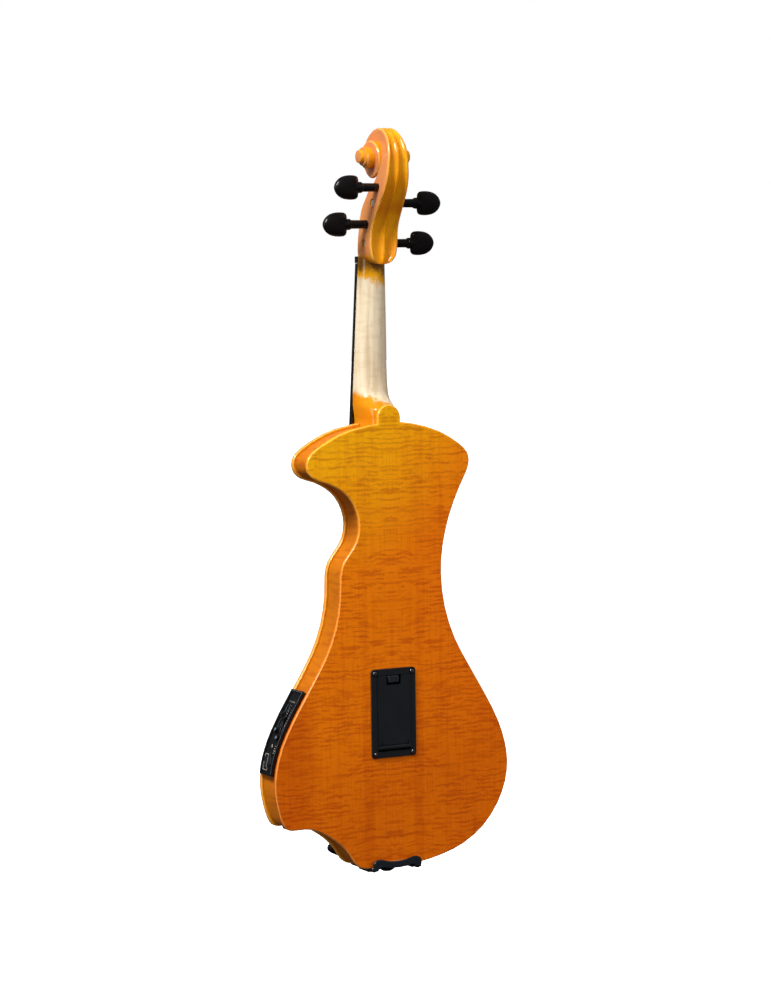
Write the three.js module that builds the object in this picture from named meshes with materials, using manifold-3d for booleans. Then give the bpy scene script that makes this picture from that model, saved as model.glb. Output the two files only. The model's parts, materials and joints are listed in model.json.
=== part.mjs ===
// An electric violin with a flat maple body, a cutaway beside the neck and a carved scroll.
// Millimetres: X runs to the treble side, Y to the back and Z up along the strings.
import * as THREE from 'three';
import { mergeVertices } from 'three/addons/utils/BufferGeometryUtils.js';
import Module from 'manifold-3d';

const wasm = await Module();
wasm.setup();

// Driving dimensions of the body
const bodyLength = 356;
const bodyHalfWidth = 105.5;
const bodyDepth = 29;
const plateThickness = 3.6;
const plateBevel = 0.9;
const overhang = 2.2;
const ribThickness = 2.4;
const buttonHalfWidth = 10.4;
const buttonRise = 3.4;
const clearance = 0.3;
const overrun = 1;

// Driving dimensions of the neck and its fingerboard
const neckStop = 125.6;
const neckTilt = THREE.MathUtils.degToRad(2.6);
const nutSetback = 0.8;
const nutHalfWidth = 11.2;
const nutLength = 5.4;
const boardLength = 266;
const boardEndHalfWidth = 20.8;
const boardEdgeHeight = 4.2;
const crownRadius = 42;
const neckThickness = 12.4;
const headStart = 4.4;
const headLength = 104;
const headHalfWidth = 12.6;
const volutePitch = 26.6;
const rootDepth = 7;

// Driving dimensions of the strings and their fittings
const bridgeStop = 195;
const bridgeHalfWidth = 21;
const bridgeThickness = 4.4;
const nutStringSpan = 16.5;
const bridgeStringSpan = 34;
const tailpieceLength = 108;
const tailpieceHalfWidth = 22;
const tailpieceThickness = 5;
const tailpieceLift = THREE.MathUtils.degToRad(1.6);
const tailEndHeight = 5.286128471;
const tailpieceStart = 9;
const saddleHeight = 3.2;
const pegRadius = 3.4;
const gutRadius = 1;

// Driving dimensions of the chin rest and its clamp
const chinRestBase = 12.5;
const chinRestThickness = 9;
const clampHalfSpan = 19.6;
const clampRodRadius = 1.5;
const barrelLength = 17;
const barrelRadius = 2.4;

// Driving dimensions of the electrics
const batteryCoverWidth = 40.2;
const batteryCoverLength = 71.5;
const batteryCoverHeight = 124;
const coverProud = 1.4;
const panelTop = 144;
const panelBottom = 81;
const panelProud = 3.6;
const bushRadius = 5.4;
const plugRadius = 3.3;
const plugDepth = 29;

// Places that follow from the driving dimensions
const nutHeight = bodyLength + neckStop;
const nutPlane = -(bodyDepth - nutSetback);
const backInner = -plateThickness;
const frontOuter = -bodyDepth;
const frontInner = -(bodyDepth - plateThickness);
const bridgeHeight = bodyLength - bridgeStop;
const endBlockDepth = bodyLength * 0.045;
const panelFront = bodyDepth - plateThickness - clearance;
const panelBack = plateThickness + 2 * clearance;
const mergeDistance = 1e-4;
const halfTurn = Math.PI;
const quarterTurn = Math.PI / 2;
const fullTurn = Math.PI * 2;

const finish = (color, roughness, metalness = 0) =>
  new THREE.MeshStandardMaterial({ color, roughness, metalness });
const materials = {
  amberMaple: finish(0xd98a1e, 0.3),
  frontSpruce: finish(0xd07a18, 0.32),
  bareMaple: finish(0xd8bf95, 0.45),
  ribMaple: finish(0xcf6410, 0.35),
  innerWood: finish(0xc9a878, 0.8),
  bridgeMaple: finish(0xcfa56b, 0.6),
  ebony: finish(0x17130f, 0.35),
  gloss: finish(0x101012, 0.25),
  matte: finish(0x202226, 0.6),
  cork: finish(0xa97a4c, 0.9),
  nickel: finish(0xb9bcc0, 0.25, 1),
  blackSteel: finish(0x1d2026, 0.35, 0.8),
  steelString: finish(0xc4c4c4, 0.3, 1),
  circuit: finish(0x1f5a34, 0.6),
  window: finish(0x2b3338, 0.12),
  cell: finish(0x33363b, 0.4, 0.4),
  lead: finish(0x151515, 0.6),
};

const violin = new THREE.Group();

// Solids and meshes

// Turns a closed three.js geometry into a solid that can be cut and joined.
function solid(geometry) {
  const bare = new THREE.BufferGeometry();
  bare.setAttribute('position', geometry.getAttribute('position').clone());
  if (geometry.index) {
    bare.setIndex(geometry.index.clone());
  }
  const merged = mergeVertices(bare, mergeDistance);
  const corners = merged.index.array;
  const kept = [];
  for (let i = 0; i < corners.length; i += 3) {
    const [a, b, c] = corners.slice(i, i + 3);
    if (a !== b && b !== c && c !== a) {
      kept.push(a, b, c);
    }
  }
  const vertProperties = new Float32Array(merged.getAttribute('position').array);
  const triVerts = new Uint32Array(kept);
  return new wasm.Manifold(new wasm.Mesh({ numProp: 3, vertProperties, triVerts }));
}

function geometryOf(body) {
  const mesh = body.getMesh();
  const geometry = new THREE.BufferGeometry();
  geometry.setAttribute('position', new THREE.BufferAttribute(mesh.vertProperties, 3));
  geometry.setIndex(new THREE.BufferAttribute(mesh.triVerts, 1));
  geometry.computeVertexNormals();
  return geometry;
}

const joined = (...geometries) => geometries.map(solid).reduce((whole, piece) => whole.add(piece));
const cut = (body, ...geometries) =>
  geometries.map(solid).reduce((whole, piece) => whole.subtract(piece), body);

function addPart(parent, name, shape, material) {
  const geometry = shape.isBufferGeometry ? shape : geometryOf(shape);
  const mesh = new THREE.Mesh(geometry, material.clone());
  mesh.name = name;
  parent.add(mesh);
  return mesh;
}

// A closed skin over a row of rings with equal numbers of points.
function loft(rings) {
  const sides = rings[0].length;
  const positions = rings.flat().flatMap((point) => [point.x, point.y, point.z]);
  const index = [];
  for (let ring = 0; ring + 1 < rings.length; ring += 1) {
    for (let side = 0; side < sides; side += 1) {
      const a = ring * sides + side;
      const b = ring * sides + ((side + 1) % sides);
      index.push(a, b, b + sides, a, b + sides, a + sides);
    }
  }
  const capped = [
    [rings[0], 0, false],
    [rings[rings.length - 1], (rings.length - 1) * sides, true],
  ];
  for (const [ring, first, forward] of capped) {
    const middle = new THREE.Vector3();
    ring.forEach((point) => middle.addScaledVector(point, 1 / sides));
    const hub = positions.length / 3;
    positions.push(middle.x, middle.y, middle.z);
    for (let side = 0; side < sides; side += 1) {
      const a = first + side;
      const b = first + ((side + 1) % sides);
      index.push(hub, ...(forward ? [a, b] : [b, a]));
    }
  }
  return outward(positions, index);
}

// Builds the geometry with its faces pointing out, whichever way its rings run.
function outward(positions, index) {
  const corner = (i) => new THREE.Vector3().fromArray(positions, i * 3);
  let volume = 0;
  for (let i = 0; i < index.length; i += 3) {
    volume += corner(index[i]).dot(corner(index[i + 1]).cross(corner(index[i + 2])));
  }
  const ordered = volume < 0 ? index.slice().reverse() : index;
  const geometry = new THREE.BufferGeometry();
  geometry.setAttribute('position', new THREE.Float32BufferAttribute(positions, 3));
  geometry.setIndex(ordered);
  geometry.computeVertexNormals();
  return geometry;
}

// A round bar through a list of points, with one radius or one for each point.
function tube(points, radii, sides = 8) {
  let normal = null;
  const rings = points.map((point, i) => {
    const before = points[Math.max(i - 1, 0)];
    const after = points[Math.min(i + 1, points.length - 1)];
    const along = after.clone().sub(before).normalize();
    if (!normal) {
      const aside = Math.abs(along.x) < Math.SQRT1_2 ? [1, 0, 0] : [0, 1, 0];
      normal = new THREE.Vector3(...aside);
    }
    normal.addScaledVector(along, -normal.dot(along)).normalize();
    const binormal = along.clone().cross(normal);
    const radius = Array.isArray(radii) ? radii[i] : radii;
    return Array.from({ length: sides }, (_, side) => {
      const angle = (fullTurn * side) / sides;
      return point
        .clone()
        .addScaledVector(normal, radius * Math.cos(angle))
        .addScaledVector(binormal, radius * Math.sin(angle));
    });
  });
  return loft(rings);
}

const smooth = (points, steps) => new THREE.CatmullRomCurve3(points).getPoints(steps);
const at = (x, y, z) => new THREE.Vector3(x, y, z);
const flat = (x, z) => new THREE.Vector2(x, z);

// An outline in X and Z, made solid between two places along Y.
function slab(shape, front, back, bevel = 0, curveSegments = 3) {
  const geometry = new THREE.ExtrudeGeometry(shape, {
    depth: back - front - 2 * bevel,
    bevelEnabled: bevel > 0,
    bevelThickness: bevel,
    bevelSize: bevel,
    bevelOffset: -bevel,
    bevelSegments: 1,
    curveSegments,
  });
  geometry.rotateX(quarterTurn);
  return geometry.translate(0, back - bevel, 0);
}

// A side view in Y and Z, made solid across X.
function prism(points, width, x = 0) {
  const shape = new THREE.Shape(points.map(([y, z]) => flat(y, z)));
  const geometry = new THREE.ExtrudeGeometry(shape, { depth: width, bevelEnabled: false });
  geometry.translate(0, 0, x - width / 2);
  return geometry.applyMatrix4(new THREE.Matrix4().makeBasis(at(0, 1, 0), at(0, 0, 1), at(1, 0, 0)));
}

function block(width, depth, height, x = 0, y = 0, z = 0) {
  return new THREE.BoxGeometry(width, depth, height).translate(x, y, z);
}

// A rod along one of the three directions, centred on a point.
function rod(direction, radius, length, centre, sides = 20, endRadius = radius) {
  const geometry = new THREE.CylinderGeometry(endRadius, radius, length, sides);
  if (direction === 'x') {
    geometry.rotateZ(-quarterTurn);
  }
  if (direction === 'z') {
    geometry.rotateX(quarterTurn);
  }
  return geometry.translate(centre.x, centre.y, centre.z);
}

function roundedRectangle(width, height, radius, x = 0, y = 0) {
  const shape = new THREE.Shape();
  const right = x + width / 2;
  const top = y + height / 2;
  const left = x - width / 2;
  const bottom = y - height / 2;
  shape.absarc(right - radius, top - radius, radius, 0, quarterTurn);
  shape.absarc(left + radius, top - radius, radius, quarterTurn, halfTurn);
  shape.absarc(left + radius, bottom + radius, radius, halfTurn, halfTurn + quarterTurn);
  shape.absarc(right - radius, bottom + radius, radius, halfTurn + quarterTurn, fullTurn);
  shape.closePath();
  return shape;
}

// The body outline, clockwise from the neck, as shares of half the width and of the length
const outlineShares = [
  [0, 1], [0.33, 0.985], [0.5, 0.965], [0.615, 0.945], [0.678, 0.928], [0.695, 0.909],
  [0.675, 0.891], [0.622, 0.878], [0.507, 0.867], [0.41, 0.852], [0.335, 0.832], [0.283, 0.804],
  [0.2635, 0.772], [0.285, 0.739], [0.348, 0.711], [0.405, 0.688], [0.43, 0.658], [0.435, 0.611],
  [0.475, 0.547], [0.56, 0.484], [0.69, 0.42], [0.83, 0.354], [0.935, 0.294], [0.987, 0.243],
  [1, 0.197], [0.977, 0.156], [0.946, 0.126], [0.912, 0.11], [0.862, 0.1045], [0.76, 0.1045],
  [0.66, 0.099], [0.56, 0.083], [0.46, 0.0615], [0.39, 0.038], [0.34, 0.0155], [0.285, 0.0035],
  [0.2, 0], [0, 0], [-0.21, 0.002], [-0.42, 0.014], [-0.6, 0.033], [-0.78, 0.069],
  [-0.91, 0.118], [-0.98, 0.167], [-1, 0.214], [-0.98, 0.258], [-0.92, 0.31], [-0.81, 0.372],
  [-0.67, 0.441], [-0.55, 0.504], [-0.465, 0.578], [-0.435, 0.655], [-0.452, 0.716],
  [-0.51, 0.783], [-0.6, 0.845], [-0.667, 0.882], [-0.69, 0.907], [-0.672, 0.927],
  [-0.6, 0.947], [-0.43, 0.976], [-0.2, 0.9955],
];
const outlineKnots = outlineShares.map(([x, z]) => at(x * bodyHalfWidth, z * bodyLength, 0));
const outlineCurve = new THREE.CatmullRomCurve3(outlineKnots, true, 'centripetal');
const outline = outlineCurve.getPoints(outlineKnots.length * 2).slice(0, -1);

// The outline drawn in towards the middle of the body, without the points that its corners swallow.
function insetOutline(distance) {
  const drawn = outline.map((point, i) => {
    const before = outline.at(i - 1);
    const after = outline[(i + 1) % outline.length];
    const along = after.clone().sub(before).normalize();
    return flat(point.x + along.y * distance, point.y - along.x * distance);
  });
  const gap = (point, i) => {
    const start = outline[i];
    const side = outline[(i + 1) % outline.length].clone().sub(start);
    const reach = at(point.x, point.y, 0).sub(start);
    const share = THREE.MathUtils.clamp(reach.dot(side) / side.lengthSq(), 0, 1);
    return reach.addScaledVector(side, -share).length();
  };
  return drawn.filter((point) => outline.every((_, i) => gap(point, i) >= distance * 0.97));
}

const plateShape = () => new THREE.Shape(insetOutline(0));
const ribOutside = insetOutline(overhang);

// A place on the outer face of the treble rib at a height, with the direction out of the wood.
function ribPlace(height) {
  const crossing = (level) => {
    const i = ribOutside.findIndex(
      (point, k) => k > 0 && point.x > 0 && point.y <= level && ribOutside[k - 1].y > level
        && point.x > bodyHalfWidth * 0.42,
    );
    const above = ribOutside[i - 1];
    const below = ribOutside[i];
    return above.clone().lerp(below, (above.y - level) / (above.y - below.y));
  };
  const spread = bodyLength * 0.03;
  const along = crossing(height + spread).sub(crossing(height - spread)).normalize();
  return { point: crossing(height), out: flat(along.y, -along.x) };
}

// A strip along the treble rib between two heights and two depths from its outer face.
function ribStrip(low, high, inner, outer) {
  const steps = 10;
  const places = Array.from({ length: steps + 1 }, (_, i) => ribPlace(low + ((high - low) * i) / steps));
  const row = (depth) => places.map(({ point, out }) => point.clone().addScaledVector(out, depth));
  return new THREE.Shape([...row(outer), ...row(inner).reverse()]);
}

// A group on the treble rib whose X points out of it and whose Z runs up along it.
function ribGroup(height) {
  const { point, out } = ribPlace(height);
  const group = new THREE.Group();
  group.position.set(point.x, 0, point.y);
  group.rotation.y = -Math.atan2(out.y, out.x);
  group.updateMatrix();
  return group;
}

// Neck frame: X to the treble side, Y to the back from the fingerboard's underside, Z up from the nut
const neckGroup = new THREE.Group();
neckGroup.position.set(0, nutPlane, nutHeight);
neckGroup.rotation.x = -neckTilt;
neckGroup.updateMatrix();
violin.add(neckGroup);
const onNeck = (x, y, z) => at(x, y, z).applyMatrix4(neckGroup.matrix);
const neckPlaneAt = (height) => nutPlane - (nutHeight - height) * Math.tan(neckTilt);
const boardHalfWidthAt = (z) =>
  nutHalfWidth + ((boardEndHalfWidth - nutHalfWidth) * -z) / boardLength;
const crownDrop = (x) => crownRadius - Math.sqrt(crownRadius ** 2 - x ** 2);

// Body: back, front, ribs and blocks

const coverWellWidth = batteryCoverWidth * 0.82;
const coverWellLength = batteryCoverLength * 0.9;
const wellRadius = 2.4;
const coverScrewRadius = 1;
const coverScrewInset = 3.4;
const coverScrewPlaces = [
  ['upper_treble', 1, 1], ['upper_bass', -1, 1], ['lower_treble', 1, -1], ['lower_bass', -1, -1],
].map(([name, across, up]) => ({
  name,
  x: across * (batteryCoverWidth / 2 - coverScrewInset),
  z: up * (batteryCoverLength / 2 - coverScrewInset),
}));
const rootHalfWidth = nutHalfWidth * 1.17;
const bridgeFoot = frontOuter - clearance;
const pickupThickness = 1.2;
const pickupStemRadius = 1.1;
const leadHoleRadius = 2;
const saddleHalfWidth = 17;
const saddleDepth = 6.5;
const pickupHoleX = 12;

function backPlate() {
  const button = new THREE.Shape();
  const buttonCentre = bodyLength + buttonRise;
  button.moveTo(-buttonHalfWidth, bodyLength - plateThickness);
  button.lineTo(buttonHalfWidth, bodyLength - plateThickness);
  button.absarc(0, buttonCentre, buttonHalfWidth, 0, halfTurn);
  const plate = joined(
    slab(plateShape(), backInner, 0, plateBevel),
    slab(button, backInner, 0, plateBevel, 6),
  );
  const well = roundedRectangle(coverWellWidth, coverWellLength, wellRadius, 0, batteryCoverHeight);
  const screwHoles = coverScrewPlaces.map(({ x, z }) =>
    rod('y', coverScrewRadius + clearance, plateThickness * 4, at(x, 0, batteryCoverHeight + z), 8),
  );
  return cut(plate, slab(well, backInner - overrun, overrun), ...screwHoles);
}

function mortise(gap) {
  const width = 2 * (rootHalfWidth + gap);
  const bottom = bodyLength - rootDepth - overhang - gap;
  const depth = bodyDepth - plateThickness;
  const middle = -plateThickness - gap - depth / 2;
  return block(width, depth + 2 * gap, bodyLength - bottom, 0, middle, (bodyLength + bottom) / 2);
}

function saddleCutter(gap) {
  const depth = plateThickness + 2 * gap;
  const middle = frontInner - plateThickness / 2;
  const height = saddleDepth + gap;
  return block(2 * (saddleHalfWidth + gap), depth, height * 2, 0, middle, 0);
}

function topPlate() {
  const plate = solid(slab(plateShape(), frontOuter, frontInner, plateBevel));
  const leadHole = rod('y', leadHoleRadius, plateThickness * 3, at(pickupHoleX, frontInner, bridgeHeight));
  return cut(plate, mortise(clearance), saddleCutter(clearance), leadHole);
}

const openingMargin = 1.6;
function preampOpening(inner, outer, gap) {
  return slab(
    ribStrip(panelBottom + openingMargin - gap, panelTop - openingMargin + gap, inner, outer),
    frontInner + openingMargin - gap,
    -panelBack - openingMargin + gap,
  );
}

// The flat of the lower treble scoop, where the jack looks down.
const jackPlace = at(bodyHalfWidth * 0.805, -bodyDepth / 2, bodyLength * 0.1038 + overhang);
const endPinRadius = 3.8;

function ribGarland() {
  const outside = slab(new THREE.Shape(ribOutside), frontInner + clearance, backInner - clearance);
  const inside = new THREE.Shape(insetOutline(overhang + ribThickness));
  const ring = cut(solid(outside), slab(inside, frontOuter, 0));
  const jackHole = rod('z', bushRadius, ribThickness * 8, jackPlace, 20);
  const pinPlace = at(0, -bodyDepth / 2, overhang);
  const pinHole = rod('z', endPinRadius + clearance, ribThickness * 8, pinPlace, 16);
  const opening = preampOpening(-ribThickness * 3, ribThickness * 3, 0);
  return cut(ring, mortise(clearance), jackHole, pinHole, opening);
}

function bodyBlock(low, high, halfWidth) {
  const inside = new THREE.Shape(insetOutline(overhang + ribThickness + clearance));
  const core = solid(slab(inside, frontInner + clearance, backInner - clearance));
  const depth = bodyDepth;
  return core.intersect(
    solid(block(2 * halfWidth, depth, high - low, 0, -depth / 2, (low + high) / 2)),
  );
}

const neckBlockHalfWidth = bodyHalfWidth * 0.3;
const neckBlockDepth = bodyLength * 0.06;
function neckBlock() {
  const body = bodyBlock(bodyLength - neckBlockDepth, bodyLength, neckBlockHalfWidth);
  return cut(body, mortise(clearance));
}

function endBlock() {
  const body = bodyBlock(0, endBlockDepth + overhang, neckBlockHalfWidth);
  const pinPlace = at(0, -bodyDepth / 2, 0);
  return cut(body, rod('z', endPinRadius + clearance, endBlockDepth * 3, pinPlace, 16));
}

addPart(violin, 'back_plate', backPlate(), materials.amberMaple);
addPart(violin, 'top_plate', topPlate(), materials.frontSpruce);
addPart(violin, 'ribs', ribGarland(), materials.ribMaple);
addPart(violin, 'neck_block', neckBlock(), materials.innerWood);
addPart(violin, 'end_block', endBlock(), materials.innerWood);

// Neck, pegbox and scroll, one carved piece

// The pegbox, from the chin up to the back of the volute: back edge Y and Z, front edge Y and Z,
// and half the width, as shares of the head's length and of half its greatest width.
const pegboxShares = [
  [0.2, -0.042, 0.09, -0.042, 0.24],
  [0.213, -0.031, 0.05, -0.031, 0.58],
  [0.223, 0.003, 0.006, 0.003, 0.86],
  [0.228, 0.048, 0.006, 0.048, 0.97],
  [0.226, 0.115, 0.025, 0.115, 1],
  [0.23, 0.193, 0.036, 0.202, 0.99],
  [0.252, 0.27, 0.046, 0.288, 0.97],
  [0.298, 0.351, 0.077, 0.38, 0.945],
  [0.352, 0.433, 0.129, 0.457, 0.905],
  [0.398, 0.51, 0.176, 0.519, 0.87],
  [0.431, 0.587, 0.248, 0.582, 0.825],
  [0.448, 0.659, 0.305, 0.66, 0.78],
];
const eye = at(0, headLength * 0.1935, headStart + headLength * 0.771);
const eyeTipHalfWidth = headHalfWidth * 1.75;
const voluteDecay = 0.6;
const voluteWidthShares = [0.72, 0.46, 0.6, 0.76, 0.9, 1.02, 1.16, 1.3, 1.42];
const voluteRadius = (turn) => volutePitch * Math.exp(-voluteDecay * turn);
const edgeBevel = 1.2;
const fluteShare = 0.2;

function voluteStation(turn) {
  const angle = turn * fullTurn;
  const quarter = Math.min(turn * 4, voluteWidthShares.length - 1);
  const low = Math.floor(quarter);
  const high = Math.min(low + 1, voluteWidthShares.length - 1);
  const widthShare = THREE.MathUtils.lerp(
    voluteWidthShares[low],
    voluteWidthShares[high],
    quarter - low,
  );
  const outside = voluteRadius(turn);
  const inside = voluteRadius(turn + 1) - edgeBevel;
  const ray = at(0, Math.cos(angle), Math.sin(angle));
  return {
    back: eye.clone().addScaledVector(ray, outside),
    front: eye.clone().addScaledVector(ray, inside),
    halfWidth: widthShare * headHalfWidth,
    flute: fluteShare * THREE.MathUtils.clamp((0.98 - turn) / 0.2, 0, 1),
  };
}

const pegboxStations = pegboxShares.map(([backY, backZ, frontY, frontZ, width]) => ({
  back: at(0, backY * headLength, headStart + backZ * headLength),
  front: at(0, frontY * headLength, headStart + frontZ * headLength),
  halfWidth: width * headHalfWidth,
  flute: fluteShare,
}));

// Fills the gaps between the pegbox's stations along smooth curves.
function finePegbox(stepsPerStation) {
  const backs = new THREE.CatmullRomCurve3(pegboxStations.map((station) => station.back));
  const fronts = new THREE.CatmullRomCurve3(pegboxStations.map((station) => station.front));
  const widths = new THREE.CatmullRomCurve3(
    pegboxStations.map((station) => at(station.halfWidth, 0, 0)),
  );
  const steps = (pegboxStations.length - 1) * stepsPerStation;
  return Array.from({ length: steps + 1 }, (_, i) => ({
    back: backs.getPoint(i / steps),
    front: fronts.getPoint(i / steps),
    halfWidth: widths.getPoint(i / steps).x,
    flute: fluteShare,
  }));
}

// One section across the head: two flutes and a spine at the back, bevelled edges and plain sides.
function headRing({ back, front, halfWidth, flute }) {
  const inwards = front.clone().sub(back);
  const depth = inwards.length();
  inwards.normalize();
  const bevel = Math.min(edgeBevel, halfWidth * 0.3, depth * 0.3);
  const hollow = flute * halfWidth;
  const half = [
    [halfWidth, depth],
    [halfWidth, bevel],
    [halfWidth - bevel, 0],
    [halfWidth * 0.72, hollow * 0.75],
    [halfWidth * 0.48, hollow],
    [halfWidth * 0.2, hollow * 0.6],
  ];
  const mirrored = half.map(([x, inset]) => [-x, inset]).reverse();
  return [...half, [0, 0], ...mirrored].map(([x, inset]) =>
    back.clone().addScaledVector(inwards, inset).setX(x),
  );
}

function voluteSweep(from, to, steps) {
  return Array.from({ length: steps + 1 }, (_, i) =>
    headRing(voluteStation(from + ((to - from) * i) / steps)),
  );
}

// The hollow of the pegbox, open to the front, with a back wall and two cheeks left standing.
const cheekThickness = 4.7;
const backWall = 4.6;
function pegboxCutter() {
  const stations = finePegbox(4).slice(13, 41).filter((_, i) => i % 3 === 0);
  const rings = stations.map(({ back, front, halfWidth }) => {
    const inwards = front.clone().sub(back).normalize();
    const deep = back.clone().addScaledVector(inwards, backWall);
    const open = front.clone().addScaledVector(inwards, headHalfWidth);
    const inner = halfWidth - cheekThickness;
    return [
      deep.clone().setX(inner),
      deep.clone().setX(-inner),
      open.clone().setX(-inner),
      open.clone().setX(inner),
    ];
  });
  return loft(rings);
}

// Each peg's place in the pegbox as shares of the head's length, and the side of its head.
const pegPlaces = [
  { string: 'g', side: -1, yShare: 0.123, zShare: 0.114 },
  { string: 'd', side: -1, yShare: 0.237, zShare: 0.421 },
  { string: 'a', side: 1, yShare: 0.302, zShare: 0.54 },
  { string: 'e', side: 1, yShare: 0.158, zShare: 0.26 },
];
const pegCentre = ({ yShare, zShare }) =>
  at(0, yShare * headLength, headStart + zShare * headLength);

// Where a string's windings lie along its peg, and how far out they reach from its axis.
const stringRadii = { g: 0.4, d: 0.36, a: 0.3, e: 0.22 };
const stringShares = { g: -1, d: -1 / 3, a: 1 / 3, e: 1 };
const windings = 2.5;
function windingSpan({ string, side }) {
  const radius = stringRadii[string];
  const atNut = (stringShares[string] * nutStringSpan) / 2;
  const start = side * (headHalfWidth - cheekThickness) * 0.2 + atNut * 0.1;
  const pitch = 2 * radius + clearance;
  return { start, pitch, end: start + side * windings * pitch, wrap: pegRadius + clearance + radius };
}

// The room that the windings need in the pegbox.
function windingCutter(place) {
  const { start, end, wrap } = windingSpan(place);
  const radius = stringRadii[place.string];
  const width = Math.abs(end - start) + 2 * radius + clearance;
  const middle = pegCentre(place).setX((start + end) / 2);
  return rod('x', wrap + radius + clearance / 2, width, middle, 24);
}

function headSolid() {
  const lower = loft([...finePegbox(2).map(headRing), ...voluteSweep(0, 0.55, 8)]);
  const under = loft(voluteSweep(0.5, 1.06, 8));
  const inner = loft(voluteSweep(1, 1.55, 7));
  const last = loft(voluteSweep(1.5, 2.04, 6));
  const bossRadius = voluteRadius(2.2);
  const tipRadius = voluteRadius(2.9);
  const boss = rod('x', bossRadius, eyeTipHalfWidth * 1.72, eye, 20);
  const tip = rod('x', tipRadius, eyeTipHalfWidth * 2, eye, 16);
  const whole = joined(lower, under, inner, last, boss, tip);
  const holes = pegPlaces.map((place) =>
    rod('x', pegRadius + clearance, headHalfWidth * 3, pegCentre(place), 16),
  );
  return cut(whole, pegboxCutter(), ...pegPlaces.map(windingCutter), ...holes);
}

// Heights on the neck and heel as shares of the neck's stop, with the depth behind the fingerboard
// as a share of the body's depth, the squareness of the section and its width as a share of the
// fingerboard's
const heelShares = [
  [-0.0695, 1, 3.4, 0.84],
  [0.012, 1, 3.2, 0.84],
  [0.05, 1, 3, 0.9],
  [0.085, 0.97, 2.7, 0.95],
  [0.112, 0.82, 2.5, 0.97],
  [0.135, 0.66, 2.35, 0.98],
  [0.165, 0.545, 2.2, 0.99],
  [0.21, 0.475, 2.1, 1],
  [0.3, 0.445, 2, 1],
];
// The same for the shaft, with its depth as a share of the neck's thickness
const shaftShares = [
  [0.6, 1.03, 2, 1],
  [1, 1, 2, 1],
  [1.045, 0.99, 2, 1],
];
function neckRing(height, depth, squareness, widthShare) {
  const plane = neckPlaneAt(height);
  const halfWidth = boardHalfWidthAt(height - nutHeight) * widthShare;
  const steps = 14;
  return Array.from({ length: steps + 1 }, (_, i) => {
    const angle = (halfTurn * i) / steps;
    const across = Math.sign(Math.cos(angle)) * Math.abs(Math.cos(angle)) ** (2 / squareness);
    const deep = Math.sin(angle) ** (2 / squareness);
    return at(halfWidth * across, plane + depth * deep, height);
  });
}

function neckSolid() {
  const ringAt = (depthAt) => ([rise, depthShare, squareness, widthShare]) => {
    const height = bodyLength + rise * neckStop;
    return neckRing(height, depthAt(height) * depthShare, squareness, widthShare);
  };
  const heel = heelShares.map(ringAt((height) => backInner - clearance - neckPlaneAt(height)));
  const shaft = shaftShares.map(ringAt(() => neckThickness));
  const head = headSolid().transform(neckGroup.matrix.elements);
  return solid(loft([...heel, ...shaft])).add(head);
}

addPart(violin, 'neck', neckSolid(), materials.bareMaple);

// Fingerboard and nut

function boardRing(z) {
  const halfWidth = boardHalfWidthAt(z);
  const steps = 8;
  const edge = -(clearance + boardEdgeHeight);
  const arc = Array.from({ length: steps + 1 }, (_, i) => {
    const x = halfWidth * (1 - (2 * i) / steps);
    return at(x, edge - (crownDrop(halfWidth) - crownDrop(x)), z);
  });
  return [at(halfWidth, -clearance, z), ...arc, at(-halfWidth, -clearance, z)];
}

function fingerboard() {
  const board = solid(loft([boardRing(-boardLength), boardRing(0)]));
  const scoopRadius = boardEndHalfWidth * 1.25;
  const scoopDepth = boardEdgeHeight * 0.75;
  const scoopLength = boardLength - neckStop - bodyLength * 0.03;
  const scoop = rod(
    'z',
    scoopRadius,
    scoopLength * 2,
    at(0, scoopRadius - clearance - scoopDepth, -boardLength),
    40,
  );
  return cut(board, scoop);
}

const nutRise = 0.7;
const nutTop = (x) =>
  -(clearance + boardEdgeHeight + crownDrop(nutHalfWidth) + nutRise) + crownDrop(x);
const nutString = (string) => {
  const x = (stringShares[string] * nutStringSpan) / 2;
  return at(x, nutTop(x) - clearance * 0.5, 0);
};

function nut() {
  const steps = 8;
  const shape = new THREE.Shape();
  shape.moveTo(nutHalfWidth, -clearance);
  for (let i = 0; i <= steps; i += 1) {
    const x = nutHalfWidth * (1 - (2 * i) / steps);
    shape.lineTo(x, nutTop(x));
  }
  shape.lineTo(-nutHalfWidth, -clearance);
  const bar = new THREE.ExtrudeGeometry(shape, { depth: nutLength - clearance, bevelEnabled: false });
  const grooves = Object.keys(stringShares).map((string) =>
    rod('z', stringRadii[string] + clearance, nutLength * 3, nutString(string), 10),
  );
  return cut(solid(bar.translate(0, 0, clearance)), ...grooves);
}

addPart(neckGroup, 'fingerboard', fingerboard(), materials.ebony);
addPart(neckGroup, 'nut', nut(), materials.ebony);

// Pegs

// How far each peg's head reaches from the middle of the pegbox, and the sizes of its head
const pegReaches = { g: 50.4, d: 49.6, a: 48.6, e: 50.8 };
const pegHeadLength = 21;
const pegHeadHalfHeight = 9.8;
const pegHeadThickness = 8.4;
const pegTipInset = 0.4;
const pegTaper = 0.011;

// The turned collar between shank and head, as shares of the shank's radius, out and along
const collarShares = [
  [1, -2], [1.14, -1.3], [1.36, -1.05], [1.36, -0.6], [0.98, -0.35], [0.94, 1],
];
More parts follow.
